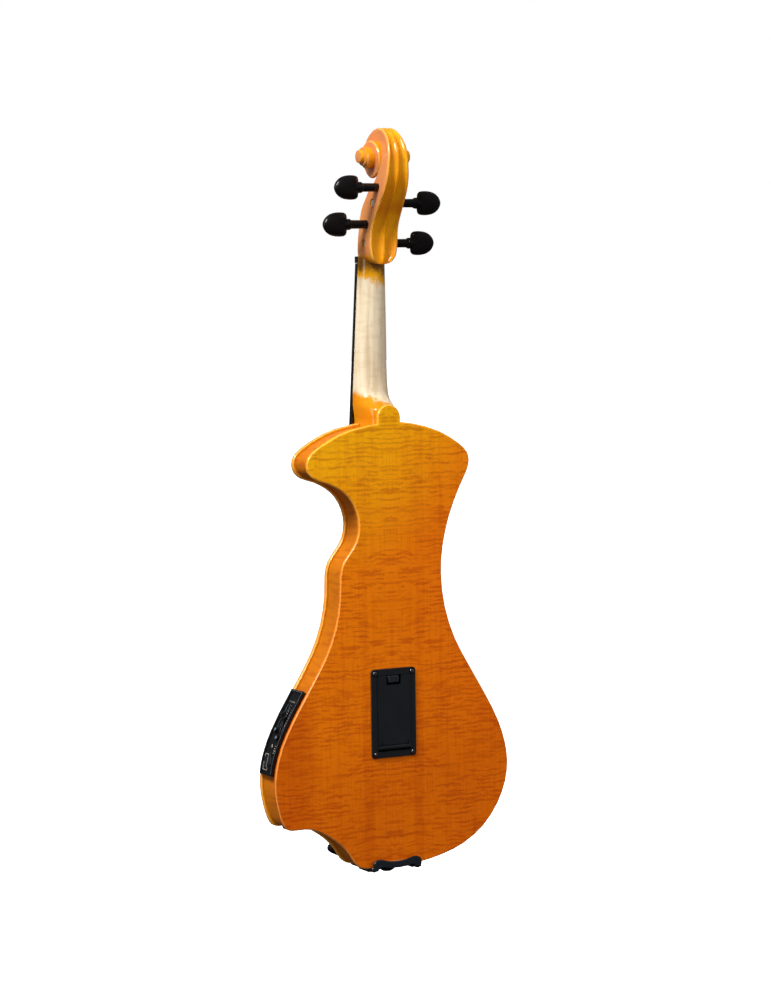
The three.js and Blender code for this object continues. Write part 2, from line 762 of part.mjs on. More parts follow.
// Half the head's outline, as shares of its length and of half its height
const pegHeadShares = [
  [0, 0.34], [0.035, 0.74], [0.13, 0.96], [0.34, 1], [0.6, 0.93], [0.82, 0.68], [0.96, 0.34],
  [1, 0],
];
function pegSolid(place) {
  const headInner = pegReaches[place.string] - pegHeadLength;
  const tip = -(headHalfWidth * 0.92 - pegTipInset);
  const radiusAt = (x) => pegRadius - clearance * 0.3 - (headHalfWidth - x) * pegTaper;
  const rounding = pegRadius * 0.15;
  const collar = collarShares.map(([radius, along]) => [
    pegRadius * radius,
    headInner + pegRadius * along,
  ]);
  const profile = [
    [0, tip],
    [radiusAt(tip) - rounding, tip],
    [radiusAt(tip), tip + rounding],
    [radiusAt(headHalfWidth), headHalfWidth],
    ...collar,
    [0, headInner + pegRadius],
  ].map(([radius, along]) => flat(radius, along));
  const shank = new THREE.LatheGeometry(profile, 10).rotateZ(-quarterTurn);
  const half = pegHeadShares.map(([x, z]) => flat(x * pegHeadLength, z * pegHeadHalfHeight));
  const otherHalf = half.slice(0, -1).reverse().map((point) => flat(point.x, -point.y));
  const spline = new THREE.SplineCurve([...half, ...otherHalf]);
  const edge = pegHeadThickness * 0.27;
  const thumb = new THREE.ExtrudeGeometry(new THREE.Shape(spline.getPoints(16)), {
    depth: pegHeadThickness - 2 * edge,
    bevelThickness: edge,
    bevelSize: edge,
    bevelOffset: -edge,
    bevelSegments: 1,
  });
  thumb.rotateX(quarterTurn);
  thumb.translate(headInner, pegHeadThickness / 2 - edge, 0);
  const dishRadius = pegHeadLength * 1.1;
  const dishes = [-1, 1].map((side) =>
    new THREE.SphereGeometry(dishRadius, 14, 8).translate(
      headInner + pegHeadLength * 0.6,
      side * (dishRadius + pegHeadThickness * 0.24),
      0,
    ),
  );
  return solid(shank).add(cut(solid(thumb), ...dishes));
}

for (const place of pegPlaces) {
  const holder = new THREE.Group();
  holder.position.copy(pegCentre(place));
  holder.rotation.z = place.side > 0 ? 0 : halfTurn;
  neckGroup.add(holder);
  addPart(holder, `peg_${place.string}`, pegSolid(place), materials.gloss);
}

// Bridge and its pickup

const boardEndCrest = boardEdgeHeight + crownDrop(boardEndHalfWidth);
const boardEnd = onNeck(0, -(clearance + boardEndCrest), -boardLength);
const stringLift = 4.5;
const nutCrest = onNeck(0, nutTop(0), 0);
const stringSlope = (nutCrest.y - (boardEnd.y - stringLift)) / (nutCrest.z - boardEnd.z);
const bridgeCrest = nutCrest.y - stringSlope * (nutCrest.z - bridgeHeight);
const bridgeBase = bridgeFoot - pickupThickness - clearance;
const bridgeRise = bridgeBase - bridgeCrest;

// Half the bridge's edge from the middle of its arch, as shares of half its width and of its height
const bridgeShares = [
  [0.2, 0.29], [0.38, 0.2], [0.45, 0.06], [0.46, 0], [1, 0], [1, 0.06], [0.86, 0.13],
  [0.72, 0.2], [0.7, 0.3], [0.86, 0.38], [0.98, 0.46], [0.96, 0.53], [0.84, 0.54],
  [0.7, 0.56], [0.64, 0.63], [0.72, 0.69], [0.88, 0.7], [0.98, 0.76],
];
const heartShares = [[0, 0.44], [0.16, 0.55], [0.2, 0.62], [0.1, 0.67], [0, 0.62]];

function bridge() {
  const shape = new THREE.Shape();
  const edge = bridgeShares.map(([x, rise]) => flat(x * bridgeHalfWidth, rise * bridgeRise));
  const steps = 10;
  const crown = Array.from({ length: steps + 1 }, (_, i) => {
    const x = bridgeHalfWidth * 0.98 * (1 - (2 * i) / steps);
    return flat(x, bridgeRise - crownDrop(x));
  });
  const mirrored = edge.map((point) => flat(-point.x, point.y)).reverse();
  shape.setFromPoints([flat(0, 0.3 * bridgeRise), ...edge, ...crown, ...mirrored]);
  const heart = heartShares.map(([x, rise]) => flat(x * bridgeHalfWidth, rise * bridgeRise));
  const otherHalf = heart.slice(1, -1).map((point) => flat(-point.x, point.y)).reverse();
  shape.holes.push(new THREE.Path([...heart, ...otherHalf]));
  const plate = new THREE.ExtrudeGeometry(shape, { depth: bridgeThickness, bevelEnabled: false });
  plate.rotateX(halfTurn);
  plate.translate(0, 0, bridgeThickness / 2);
  const thin = block(bridgeHalfWidth * 3, bridgeRise * 2, bridgeThickness, 0, 0, 0);
  thin.rotateX(Math.atan2(bridgeThickness * 0.55, bridgeRise));
  thin.translate(0, -bridgeRise * 0.5, bridgeThickness * 0.78);
  const body = cut(solid(plate), thin);
  const grooves = Object.keys(stringShares).map((string) => {
    const x = (stringShares[string] * bridgeStringSpan) / 2;
    const top = -(bridgeRise - crownDrop(x));
    const middle = at(x, top - clearance * 0.5, 0);
    return rod('z', stringRadii[string] + clearance, bridgeThickness * 3, middle, 10);
  });
  return cut(body, ...grooves);
}

const bridgeMesh = addPart(violin, 'bridge', bridge(), materials.bridgeMaple);
bridgeMesh.position.set(0, bridgeBase, bridgeHeight);
const pickupMiddle = bridgeFoot - pickupThickness / 2;
const pickupStem = rod('y', pickupStemRadius, plateThickness + pickupThickness, at(
  pickupHoleX,
  bridgeFoot - pickupThickness / 2 + plateThickness / 2,
  bridgeHeight,
), 12);
addPart(
  violin,
  'bridge_pickup',
  joined(
    block(bridgeHalfWidth * 2.06, pickupThickness, bridgeThickness, 0, pickupMiddle, bridgeHeight),
    pickupStem,
  ),
  materials.matte,
);

// Tailpiece frame: X to the treble side, Y to the back from its crest, Z up along it
const fretSetback = 6;
const fretThickness = 2;
const fretRise = 0.8;
const tailpieceFretCrest = tailpieceLength - fretSetback;
// Behind the bridge the strings aim at a point over the body's end, at a height above the front.
const afterDrop = (frontOuter - tailEndHeight - bridgeCrest) / (bridgeHeight - tailpieceStart);
const tailpieceTilt = Math.atan(afterDrop) - tailpieceLift;
const fretHeight = tailpieceStart + tailpieceFretCrest * Math.cos(tailpieceTilt);
const fretFront = bridgeCrest + (bridgeHeight - fretHeight) * afterDrop;
const tailpieceCrest = fretFront + fretRise + tailpieceFretCrest * Math.sin(tailpieceTilt);
const tailGroup = new THREE.Group();
tailGroup.position.set(0, tailpieceCrest, tailpieceStart);
tailGroup.rotation.x = tailpieceTilt;
tailGroup.updateMatrix();
violin.add(tailGroup);
const onTailpiece = (x, y, z) => at(x, y, z).applyMatrix4(tailGroup.matrix);
const tailCrown = tailpieceHalfWidth * 2.1;
const tailDrop = (x) => tailCrown - Math.sqrt(tailCrown ** 2 - x ** 2);
const tailWall = 4;

// Fine tuners: each sits in a slot, on a pin across it, and a screw above pushes its arm
const tunerSpacing = 10.4;
const tunerX = { g: -1.5, d: -0.5, a: 0.5, e: 1.5 };
const slotWidth = 3;
const slotLength = 21;
const slotSetback = 20;
const screwSetback = 34;
const pivotSetback = 17;
const screwRadius = 1.5;
const pivotRadius = 0.8;
const gutHoleLength = 15;
const gutSpread = 5.4;
const slotMiddle = tailpieceLength - slotSetback;
const screwPlace = tailpieceLength - screwSetback;
const pivotPlace = tailpieceLength - pivotSetback;
const pivotDepth = tailpieceThickness * 0.62;
const gutDepth = tailpieceThickness * 0.62;
const strings = Object.keys(tunerX);
const tunerPlace = (string) => tunerX[string] * tunerSpacing;

// Half the tailpiece's edge, as shares of half its width and of its length
const tailpieceShares = [
  [0.42, 0], [0.5, 0.04], [0.56, 0.3], [0.72, 0.6], [0.9, 0.82], [0.98, 0.92], [0.92, 0.97],
  [0.6, 0.995], [0, 1],
];

function tailpiece() {
  const right = tailpieceShares.map(([x, z]) => flat(x * tailpieceHalfWidth, z * tailpieceLength));
  const left = right.slice(0, -1).map((point) => flat(-point.x, point.y)).reverse();
  const depth = tailpieceThickness + tailDrop(tailpieceHalfWidth);
  const tailDepth = tailpieceThickness * 0.92;
  const side = prism([
    [-depth, -overrun], [tailDepth, -overrun], [tailDepth, tailpieceLength * 0.24],
    [depth, tailpieceLength * 0.8], [depth, tailpieceLength + overrun],
    [-depth, tailpieceLength + overrun],
  ], tailpieceHalfWidth * 3);
  const blank = solid(slab(new THREE.Shape([...right, ...left]), 0, depth)).intersect(solid(side));
  const middle = tailpieceLength / 2;
  const crown = rod('z', tailCrown, tailpieceLength * 2.2, at(0, tailCrown, middle), 56);
  const hollow = rod(
    'z',
    tailCrown,
    tailpieceLength - 2 * tailWall,
    at(0, tailCrown + tailpieceThickness, middle),
    56,
  );
  const shell = blank.intersect(solid(crown)).subtract(solid(hollow));
  const fret = new THREE.ExtrudeGeometry(fretShape(), { depth: fretThickness, bevelEnabled: false });
  fret.translate(0, 0, tailpieceFretCrest - fretThickness / 2);
  const slots = strings.map((string) =>
    block(slotWidth, depth * 4, slotLength, tunerPlace(string), 0, slotMiddle),
  );
  const screwHoles = strings.map((string) =>
    rod('y', screwRadius + clearance, depth * 4, at(tunerPlace(string), 0, screwPlace), 12),
  );
  const pivots = strings.map((string) => {
    const place = at(tunerPlace(string), tailDrop(tunerPlace(string)) + pivotDepth, pivotPlace);
    return rod('x', pivotRadius, slotWidth * 1.3, place, 8);
  });
  const grooves = strings.map((string) => {
    const x = tunerPlace(string);
    const place = at(x, fretTop(x) - clearance * 0.5, tailpieceFretCrest);
    return rod('z', stringRadii[string] + clearance, fretThickness * 3, place, 10);
  });
  const gutHoles = [-1, 1].map((sideways) =>
    rod('z', gutRadius + clearance, 2 * gutHoleLength, at(sideways * gutSpread, gutDepth, 0), 12),
  );
  const body = cut(shell.add(solid(fret)), ...slots, ...screwHoles, ...grooves, ...gutHoles);
  return body.add(joined(...pivots));
}

const fretTop = (x) => tailDrop(x) - fretRise;
function fretShape() {
  const reach = tailpieceHalfWidth * 0.86;
  const steps = 10;
  const across = Array.from({ length: steps + 1 }, (_, i) => reach * (1 - (2 * i) / steps));
  const top = across.map((x) => flat(x, fretTop(x)));
  const seat = across.map((x) => flat(x, fretTop(x) + fretRise + overrun)).reverse();
  return new THREE.Shape([...top, ...seat]);
}

addPart(tailGroup, 'tailpiece', tailpiece(), materials.gloss);

const leverThickness = 2.2;
const leverGauge = 1.4;
const ballRadius = 1.2;
const ballSetback = 8;
const armDrop = 2.2;
const armDepth = tailpieceThickness + armDrop;
const forkPlace = pivotPlace - ballSetback * 0.5;
const forkDepth = 2.8;
const ballPlace = at(0, -ballRadius - clearance * 2.5, pivotPlace - ballSetback);

// The lever from the side: a fork in front of the string's ball, the pivot, and an arm under the
// screw, as places behind the tailpiece's face and along it
function tunerLever() {
  const boss = pivotRadius * 2.5;
  const pad = screwRadius * 1.45;
  const side = solid(prism([
    [pivotDepth - boss, pivotPlace + boss * 0.8],
    [pivotDepth + boss * 0.9, pivotPlace + boss],
    [pivotDepth + boss * 1.2, pivotPlace - boss],
    [armDepth + leverGauge, screwPlace + pad + pivotRadius * 0.5],
    [armDepth + leverGauge, screwPlace - pad],
    [armDepth, screwPlace - pad],
    [armDepth, screwPlace + pad],
    [pivotDepth + pivotRadius * 0.25, pivotPlace - ballSetback * 0.75],
    [-ballRadius * 0.75, forkPlace - leverGauge / 2],
    [-ballRadius * 0.75, forkPlace + leverGauge / 2],
  ], leverThickness));
  const forkMiddle = -ballRadius * 0.75 - forkDepth * 0.47;
  const fork = solid(
    block(slotWidth - 2 * clearance, forkDepth, leverGauge, 0, forkMiddle, forkPlace),
  );
  const mouthMiddle = forkMiddle - forkDepth * 0.18;
  const mouth = block(ballRadius * 1.1, forkDepth, leverGauge * 4, 0, mouthMiddle, forkPlace);
  const pivot = at(0, pivotDepth, pivotPlace);
  const bore = rod('x', pivotRadius + clearance, leverThickness * 2, pivot, 10);
  return cut(side.add(fork), mouth, bore);
}

const screwHeadHeight = 4;
const screwHeadRadius = 3.3;
const screwHeadLift = 5.2;
const screwKnurls = 9;
function tunerScrew() {
  const reach = armDepth - clearance;
  const top = -(screwHeadLift + screwHeadHeight);
  const knurlDepthShare = 0.1;
  const rim = Array.from({ length: screwKnurls * 2 }, (_, i) => {
    const angle = (fullTurn * i) / (screwKnurls * 2);
    const radius = i % 2 ? screwHeadRadius : screwHeadRadius * (1 - knurlDepthShare);
    return flat(radius * Math.cos(angle), radius * Math.sin(angle));
  });
  const head = slab(new THREE.Shape(rim), top, top + screwHeadHeight);
  const shaftTop = top + screwHeadHeight / 2;
  const shaftMiddle = at(0, (reach + shaftTop) / 2, 0);
  return joined(head, rod('y', screwRadius, reach - shaftTop, shaftMiddle, 10));
}

for (const string of strings) {
  const holder = new THREE.Group();
  holder.position.set(tunerPlace(string), tailDrop(tunerPlace(string)), 0);
  tailGroup.add(holder);
  addPart(holder, `tuner_lever_${string}`, tunerLever(), materials.nickel);
  const screw = addPart(holder, `tuner_screw_${string}`, tunerScrew(), materials.nickel);
  screw.position.z = screwPlace;
}

// Strings, from their windings on the pegs over nut and bridge to the tuners

function stringSolid(place) {
  const { string, side } = place;
  const { start, pitch, wrap } = windingSpan(place);
  const radius = stringRadii[string];
  const centre = pegCentre(place);
  const overNut = nutString(string).setZ(nutLength + radius);
  const toNut = Math.atan2(overNut.z - centre.z, overNut.y - centre.y);
  const spread = Math.acos(wrap / Math.hypot(overNut.z - centre.z, overNut.y - centre.y));
  const candidates = [toNut + spread, toNut - spread];
  const [leaving, direction] = Math.sin(candidates[0]) > Math.sin(candidates[1])
    ? [candidates[0], 1]
    : [candidates[1], -1];
  const stepsPerTurn = 10;
  const steps = Math.round(windings * stepsPerTurn);
  const coil = Array.from({ length: steps + 1 }, (_, i) => {
    const turns = (steps - i) / stepsPerTurn;
    const angle = leaving + direction * turns * fullTurn;
    const x = start + side * turns * pitch;
    return onNeck(x, centre.y + wrap * Math.cos(angle), centre.z + wrap * Math.sin(angle));
  });
  const bridgeX = (stringShares[string] * bridgeStringSpan) / 2;
  const bridgeTop = bridgeCrest + crownDrop(bridgeX) - clearance * 0.5;
  const tailX = tunerPlace(string);
  const fret = onTailpiece(tailX, fretTop(tailX) - clearance * 0.5, tailpieceFretCrest);
  const hook = tailDrop(tailX);
  const ballStart = onTailpiece(tailX, hook + ballPlace.y, ballPlace.z + ballRadius * 1.4);
  const ballEnd = onTailpiece(tailX, hook + ballPlace.y, ballPlace.z);
  const path = [
    ...coil,
    onNeck(overNut.x, overNut.y, overNut.z),
    onNeck(overNut.x, nutString(string).y, clearance),
    at(bridgeX, bridgeTop, bridgeHeight + bridgeThickness / 2),
    at(bridgeX, bridgeTop, bridgeHeight - bridgeThickness / 2),
    fret,
    ballStart.clone().lerp(fret, 0.03),
    ballStart,
    ballEnd,
  ];
  const radii = path.map((_, i) => (i < path.length - 2 ? radius : ballRadius));
  return tube(path, radii, 5);
}

for (const place of pegPlaces) {
  addPart(violin, `string_${place.string}`, stringSolid(place), materials.steelString);
}

// Saddle, tail gut and end button

const saddleCrest = frontOuter - saddleHeight;
function saddle() {
  const back = frontInner - clearance;
  const depth = back - saddleCrest;
  const length = saddleDepth - clearance;
  const middle = clearance + length / 2;
  const blank = block(2 * saddleHalfWidth, depth, length, 0, back - depth / 2, middle);
  const radius = saddleHeight * 2;
  const axis = at(0, saddleCrest + radius, saddleDepth - radius * 0.55);
  const rounding = rod('x', radius, saddleHalfWidth * 3, axis, 32);
  const rest = block(4 * saddleHalfWidth, bodyDepth, bodyLength, 0, frontOuter + bodyDepth / 2, 0);
  return solid(blank).intersect(joined(rounding, rest));
}
addPart(violin, 'saddle', saddle(), materials.ebony);

const buttonMiddle = -bodyDepth / 2;
const pinHeadRadius = 6.2;
const pinHeadLength = 6.4;
const pinNeckRadius = 4.3;
function endButton() {
  const gutRoom = gutRadius + clearance;
  const profile = [
    [0, endBlockDepth * 0.8],
    [endPinRadius * 0.86, endBlockDepth * 0.8],
    [endPinRadius, overhang - clearance],
    [pinNeckRadius, overhang - clearance],
    [pinNeckRadius, -2 * gutRoom],
    [pinHeadRadius * 0.86, -2.4 * gutRoom],
    [pinHeadRadius, -2.9 * gutRoom],
    [pinHeadRadius * 0.96, -pinHeadLength * 0.7],
    [pinHeadRadius * 0.6, -pinHeadLength * 0.94],
    [0, -pinHeadLength],
  ].map(([radius, height]) => flat(radius, height));
  return new THREE.LatheGeometry(profile.reverse(), 16).rotateX(quarterTurn);
}
const endButtonMesh = addPart(violin, 'end_button', endButton(), materials.gloss);
endButtonMesh.position.y = buttonMiddle;

// The gut runs out of the tailpiece, over the saddle and round the end button's neck.
const gutReach = 11;
const gutMouth = 1.5;
const gutSag = 0.2;
const gutTurn = 1.6;
function tailGut() {
  const start = (side) => onTailpiece(side * gutSpread, gutDepth, gutReach);
  const mouth = (side) => onTailpiece(side * gutSpread, gutDepth, -gutMouth);
  const over = saddleCrest - 1.6 * clearance - gutRadius;
  const low = -(gutRadius + clearance);
  const wrap = pinNeckRadius + clearance + gutRadius;
  const strand = (side) => [
    start(side),
    mouth(side),
    at(side * gutSpread, over, saddleDepth * 0.7),
    at(side * gutSpread, over + gutSag, clearance),
    at(side * gutSpread, over + gutTurn, low),
    at(side * gutSpread, frontInner, low),
    at(side * wrap, buttonMiddle, low),
  ];
  const loop = Array.from({ length: 7 }, (_, i) => {
    const angle = (halfTurn * (i + 1)) / 8;
    return at(wrap * Math.cos(angle), buttonMiddle + wrap * Math.sin(angle), low);
  });
  return tube([...strand(1), ...loop, ...strand(-1).reverse()], gutRadius, 6);
}
addPart(violin, 'tail_gut', tailGut(), materials.lead);

// Chin rest, over the tailpiece, and its clamp

const chinRestUnder = frontOuter - chinRestBase;
const chinRestTop = chinRestUnder - chinRestThickness;
const corkThickness = 2.2;
const cupSink = 1;
const cupTurn = THREE.MathUtils.degToRad(24);
const restFootHeight = 9;
const restFootCorner = 3.6;
const restFootPlace = 9;
const restFeet = [
  { name: 'treble', placeShare: 0.256, width: 8 },
  { name: 'bass', placeShare: -0.36, width: 26 },
];

// The chin rest's edge as shares of half the body's width, across and up
const chinRestShares = [
  [0.3, 0.085], [0.305, 0.125], [0.25, 0.16], [0.12, 0.155], [-0.02, 0.16], [-0.14, 0.26],
  [-0.24, 0.42], [-0.4, 0.53], [-0.58, 0.52], [-0.7, 0.41], [-0.73, 0.25], [-0.66, 0.1],
  [-0.5, 0.005], [-0.25, -0.015], [0, -0.015], [0.2, 0.012], [0.27, 0.05],
];

function restFoot({ placeShare, width }, front, back) {
  const place = placeShare * bodyHalfWidth;
  const shape = roundedRectangle(width, restFootHeight, restFootCorner, place, restFootPlace);
  return slab(shape, front, back);
}

function chinRest() {
  const knots = chinRestShares.map(([x, z]) => at(x * bodyHalfWidth, z * bodyHalfWidth, 0));
  const edge = new THREE.CatmullRomCurve3(knots, true, 'centripetal').getPoints(knots.length * 2);
  const points = edge.slice(0, -1).map((point) => flat(point.x, point.y));
  const bevel = chinRestThickness * 0.22;
  const plate = solid(slab(new THREE.Shape(points), chinRestTop, chinRestUnder, bevel));
  const cup = new THREE.SphereGeometry(1, 18, 10);
  cup.scale(bodyHalfWidth * 0.36, chinRestThickness * 0.66, bodyHalfWidth * 0.27);
  cup.rotateY(cupTurn);
  cup.translate(-0.4 * bodyHalfWidth, chinRestTop - cupSink, bodyHalfWidth * 0.255);
  const footBase = frontOuter - clearance * 2 - corkThickness;
  const footTop = chinRestUnder - chinRestThickness * 0.11;
  const feet = restFeet.map((foot) => restFoot(foot, footTop, footBase));
  return cut(plate, cup).add(joined(...feet));
}
addPart(violin, 'chin_rest', chinRest(), materials.gloss);

const corkFront = frontOuter - clearance;
for (const foot of restFeet) {
  const pad = restFoot(foot, corkFront - corkThickness, corkFront);
  addPart(violin, `chin_rest_cork_${foot.name}`, pad, materials.cork);
}

const rodDrop = -(clampRodRadius + clearance * 1.4);
const rodStub = 3;
const rodBend = 3.4;
const rodStart = 1;
const barrelMiddle = -bodyDepth / 2;
const barrelFrontEnd = barrelMiddle - barrelLength / 2;
const barrelBackEnd = barrelMiddle + barrelLength / 2;
const barrelChamfer = 1;
const barrelHoleRadius = 0.8;
const threadEngaged = 6.5;

function clampRod(side, reach, bendY) {
  const x = side * clampHalfSpan;
  const ahead = Math.sign(reach - bendY) * rodBend;
  const corner = smooth([
    at(x, bendY, rodStart + rodStub),
    at(x, bendY, rodStart),
    at(x, bendY + ahead * 0.26, rodDrop + rodBend * 0.26),
    at(x, bendY + ahead, rodDrop),
  ], 6);
  return tube([...corner, at(x, reach, rodDrop)], clampRodRadius, 8);
}

// The bracket screwed under the chin rest, with the two upper rods.
const bracketThickness = 2;
const bracketHeight = 6.4;
const bracketCorner = 2.4;
const bracketOverhang = 2.6;
const bracketMiddle = 2.6;
function upperBracket() {
  const front = chinRestUnder + clearance;
  const width = 2 * (clampHalfSpan + bracketOverhang);
  const shape = roundedRectangle(width, bracketHeight, bracketCorner, 0, bracketMiddle);
  const bendY = front + clampRodRadius + clearance * 0.7;
  const rods = [-1, 1].map((side) => clampRod(side, barrelFrontEnd + threadEngaged, bendY));
  return joined(slab(shape, front, front + bracketThickness), ...rods);
}
addPart(violin, 'clamp_upper_bracket', upperBracket(), materials.blackSteel);

// The foot behind the body: a bar with two humps whose ends hook over the edge of the back.
const footCork = 2;
const footCorkHeight = 3.4;
const footCorkPlace = 3;
const footThickness = 2.4;
const footRise = 7.4;
const footBevel = 0.5;
const footFront = clearance * 2 + footCork;

// Half the foot's edge from its middle over a hump to the hook's outer corner, and back under it
// from the hook's inner corner, as shares of half the clamp's span and of the foot's rise
const footTopShares = [
  [0, 0.62], [0.35, 0.69], [0.64, 0.91], [0.84, 1], [1.03, 0.84], [1.12, 0.39], [1.08, -0.27],
];
const footUnderShares = [[0.92, -0.27], [0.74, 0.15], [0.4, -0.02], [0, -0.08]];

function clampFoot() {
  const edge = (shares) =>
    smooth(shares.map(([x, z]) => at(x * clampHalfSpan, z * footRise, 0)), shares.length + 2);
  const right = [...edge(footTopShares), ...edge(footUnderShares)].map(({ x, y }) => flat(x, y));
  const left = right.slice(1, -1).map((point) => flat(-point.x, point.y)).reverse();
  const shape = new THREE.Shape([...right, ...left]);
  const plate = slab(shape, footFront, footFront + footThickness, footBevel);
  const rods = [-1, 1].map((side) =>
    clampRod(side, barrelBackEnd - threadEngaged, footFront + footThickness / 2),
  );
  return joined(plate, ...rods);
}
addPart(violin, 'clamp_foot', clampFoot(), materials.blackSteel);

const footPad = roundedRectangle(
  clampHalfSpan * 1.7,
  footCorkHeight,
  footCorkHeight * 0.4,
  0,
  footCorkPlace,
);
addPart(violin, 'clamp_foot_cork', slab(footPad, clearance, clearance + footCork), materials.cork);

function clampBarrel() {
  const end = barrelLength / 2;
  const profile = [
    [clampRodRadius + clearance, -end],
    [barrelRadius * 0.9, -end],
    [barrelRadius, -end + barrelChamfer],
    [barrelRadius, end - barrelChamfer],
    [barrelRadius * 0.9, end],
    [clampRodRadius + clearance, end],
    [clampRodRadius + clearance, -end],
  ].map(([radius, along]) => flat(radius, along));
  const sleeve = solid(new THREE.LatheGeometry(profile, 12));
  return cut(sleeve, rod('x', barrelHoleRadius, barrelRadius * 3, at(0, 0, 0), 6));
}
for (const [name, side] of [['treble', 1], ['bass', -1]]) {
  const barrel = addPart(violin, `clamp_barrel_${name}`, clampBarrel(), materials.blackSteel);
  barrel.position.set(side * clampHalfSpan, barrelMiddle, rodDrop);
}

// Battery box let into the back, with its hinged door and latch

const leadRadius = 0.9;
const boxWall = 1.4;
const batteryRoom = 2.5;
const boxGroup = new THREE.Group();
boxGroup.position.set(0, 0, batteryCoverHeight);
violin.add(boxGroup);
const trayWidth = coverWellWidth - 2 * clearance;
const trayLength = coverWellLength - 2 * clearance;
const doorWidth = trayWidth - 2 * boxWall - 2 * clearance;
const doorTop = trayLength / 2 - boxWall - clearance;
const doorThickness = 1.6;
const doorFront = coverProud - doorThickness - clearance * 0.7;
const doorTail = 1.8;
const fieldInset = 3;
const fieldEndInset = 4.5;
const fieldShift = 1;
const fieldCorner = 1.5;
const fieldRise = 0.6;
const coverCorner = 2.6;
const coverBevel = 0.4;
const hingeSetback = 3;
const hingeDrop = 0.9;
const hingePin = 1;
const knuckleWall = 1.3;
const hingeHeight = -trayLength / 2 + boxWall + hingeSetback;
const hingeY = coverProud - hingeDrop;
const latchWidth = 11.6;
const latchHeight = 5.8;
const latchThickness = 1.2;
const latchTravel = 1.6;
const latchRibSpacing = 1;
const latchRibDepth = 0.9;
const latchRibWidth = 0.8;
const boltWidth = 7;
const boltThickness = 1.4;
const boltReach = 1;
const boltMiddle = -1.1;
const keeperDepth = 2.4;
const batteryWidth = 26.2;
const batteryLength = 46;
const batteryThickness = 16.4;
const boxDepth = batteryThickness + boxWall + clearance + batteryRoom;
const batteryCorner = 1.6;
const batteryBevel = 0.6;
const poleSpread = 6.4;
const poleHeight = 2.6;
const poleRadii = [[-1, 3.2], [1, 2.7]];
const batteryRest = 2.4;
const batteryY = -(boxDepth - boxWall - clearance) + batteryThickness / 2;
const batteryBottom = -trayLength / 2 + boxWall + batteryRest;
const batteryTop = batteryBottom + batteryLength;
const snapWidth = 24;
const snapDepth = 8.4;
const snapThickness = 3.4;
const snapBottom = batteryTop + clearance * 2;
const snapTop = snapBottom + snapThickness;
const batteryLeadHeight = (snapTop + trayLength / 2 - boxWall) / 2;

function batteryBox() {
  const flange = solid(slab(
    roundedRectangle(batteryCoverWidth, batteryCoverLength, coverCorner),
    clearance,
    coverProud,
    coverBevel,
  ));
  const tray = solid(slab(
    roundedRectangle(trayWidth, trayLength, wellRadius - clearance),
    clearance * 2 - boxDepth,
    clearance * 2,
  ));
  const innerWidth = trayWidth - 2 * boxWall;
  const innerLength = trayLength - 2 * boxWall;
  const hollow = block(innerWidth, boxDepth * 2, innerLength, 0, boxWall, 0);
  const screwHoles = coverScrewPlaces.map(({ x, z }) =>
    rod('y', coverScrewRadius + clearance, coverProud * 4, at(x, 0, z), 10),
  );
  const hinge = rod('x', hingePin, innerWidth + boxWall, at(0, hingeY, hingeHeight), 12);
  const keeperWidth = boltWidth + 2 * clearance;
  const keeper = block(keeperWidth, keeperDepth, boxWall * 4, 0, boltMiddle, trayLength / 2);
  const leadPlace = at(trayWidth / 2, batteryY, batteryLeadHeight);
  const leadHole = rod('x', leadRadius + clearance, boxWall * 4, leadPlace, 12);
  return cut(flange.add(tray), hollow, keeper, leadHole, ...screwHoles).add(solid(hinge));
}
addPart(boxGroup, 'battery_box', batteryBox(), materials.matte);

function batteryDoor() {
  const low = hingeHeight - doorTail;
  const height = doorTop - low;
  const middle = (doorTop + low) / 2;
  const back = doorFront + doorThickness;
  const panel = block(doorWidth, doorThickness, height, 0, doorFront + doorThickness / 2, middle);
  const fieldShape = roundedRectangle(
    doorWidth - 2 * fieldInset,
    height - 2 * fieldEndInset,
    fieldCorner,
    0,
    middle - fieldShift,
  );
  const field = slab(fieldShape, doorFront + doorThickness / 2, back + fieldRise, coverBevel);
  const hinge = at(0, hingeY, hingeHeight);
  const knuckle = rod('x', hingePin + knuckleWall, doorWidth, hinge, 16);
  const bore = rod('x', hingePin + clearance, doorWidth * 2, hinge, 12);
  const wellWidth = latchWidth + 2 * clearance;
  const wellHeight = latchHeight + latchTravel + clearance;
  const latchWell = block(wellWidth, doorThickness * 5, wellHeight * 2, 0, 0, doorTop);
  return cut(joined(panel, field, knuckle), bore, latchWell);
}
addPart(boxGroup, 'battery_door', batteryDoor(), materials.matte);

function doorLatch() {
  const middle = doorTop - latchHeight / 2;
  const face = doorFront + latchThickness;
  const tongue = block(
    latchWidth,
    latchThickness,
    latchHeight,
    0,
    doorFront + latchThickness / 2,
    middle,
  );
  const ribs = [-1, 1].map((row) =>
    block(latchWidth * 0.72, latchRibDepth, latchRibWidth, 0, face, middle + row * latchRibSpacing),
  );
  const boltHeight = latchHeight * 0.5 + boltReach;
  const boltEnd = doorTop + boltReach;
  const bolt = block(boltWidth, boltThickness, boltHeight, 0, boltMiddle, boltEnd - boltHeight / 2);
  return joined(tongue, ...ribs, bolt);
}
addPart(boxGroup, 'door_latch', doorLatch(), materials.matte);

function battery() {
  const middle = batteryBottom + batteryLength / 2;
  const can = slab(
    roundedRectangle(batteryWidth, batteryLength, batteryCorner, 0, middle),
    batteryY - batteryThickness / 2,
    batteryY + batteryThickness / 2,
    batteryBevel,
  );
  const poles = poleRadii.map(([side, radius]) =>
    rod('z', radius, 2 * poleHeight, at(side * poleSpread, batteryY, batteryTop), 12),
  );
  return joined(can, ...poles);
}
addPart(boxGroup, 'battery', battery(), materials.cell);

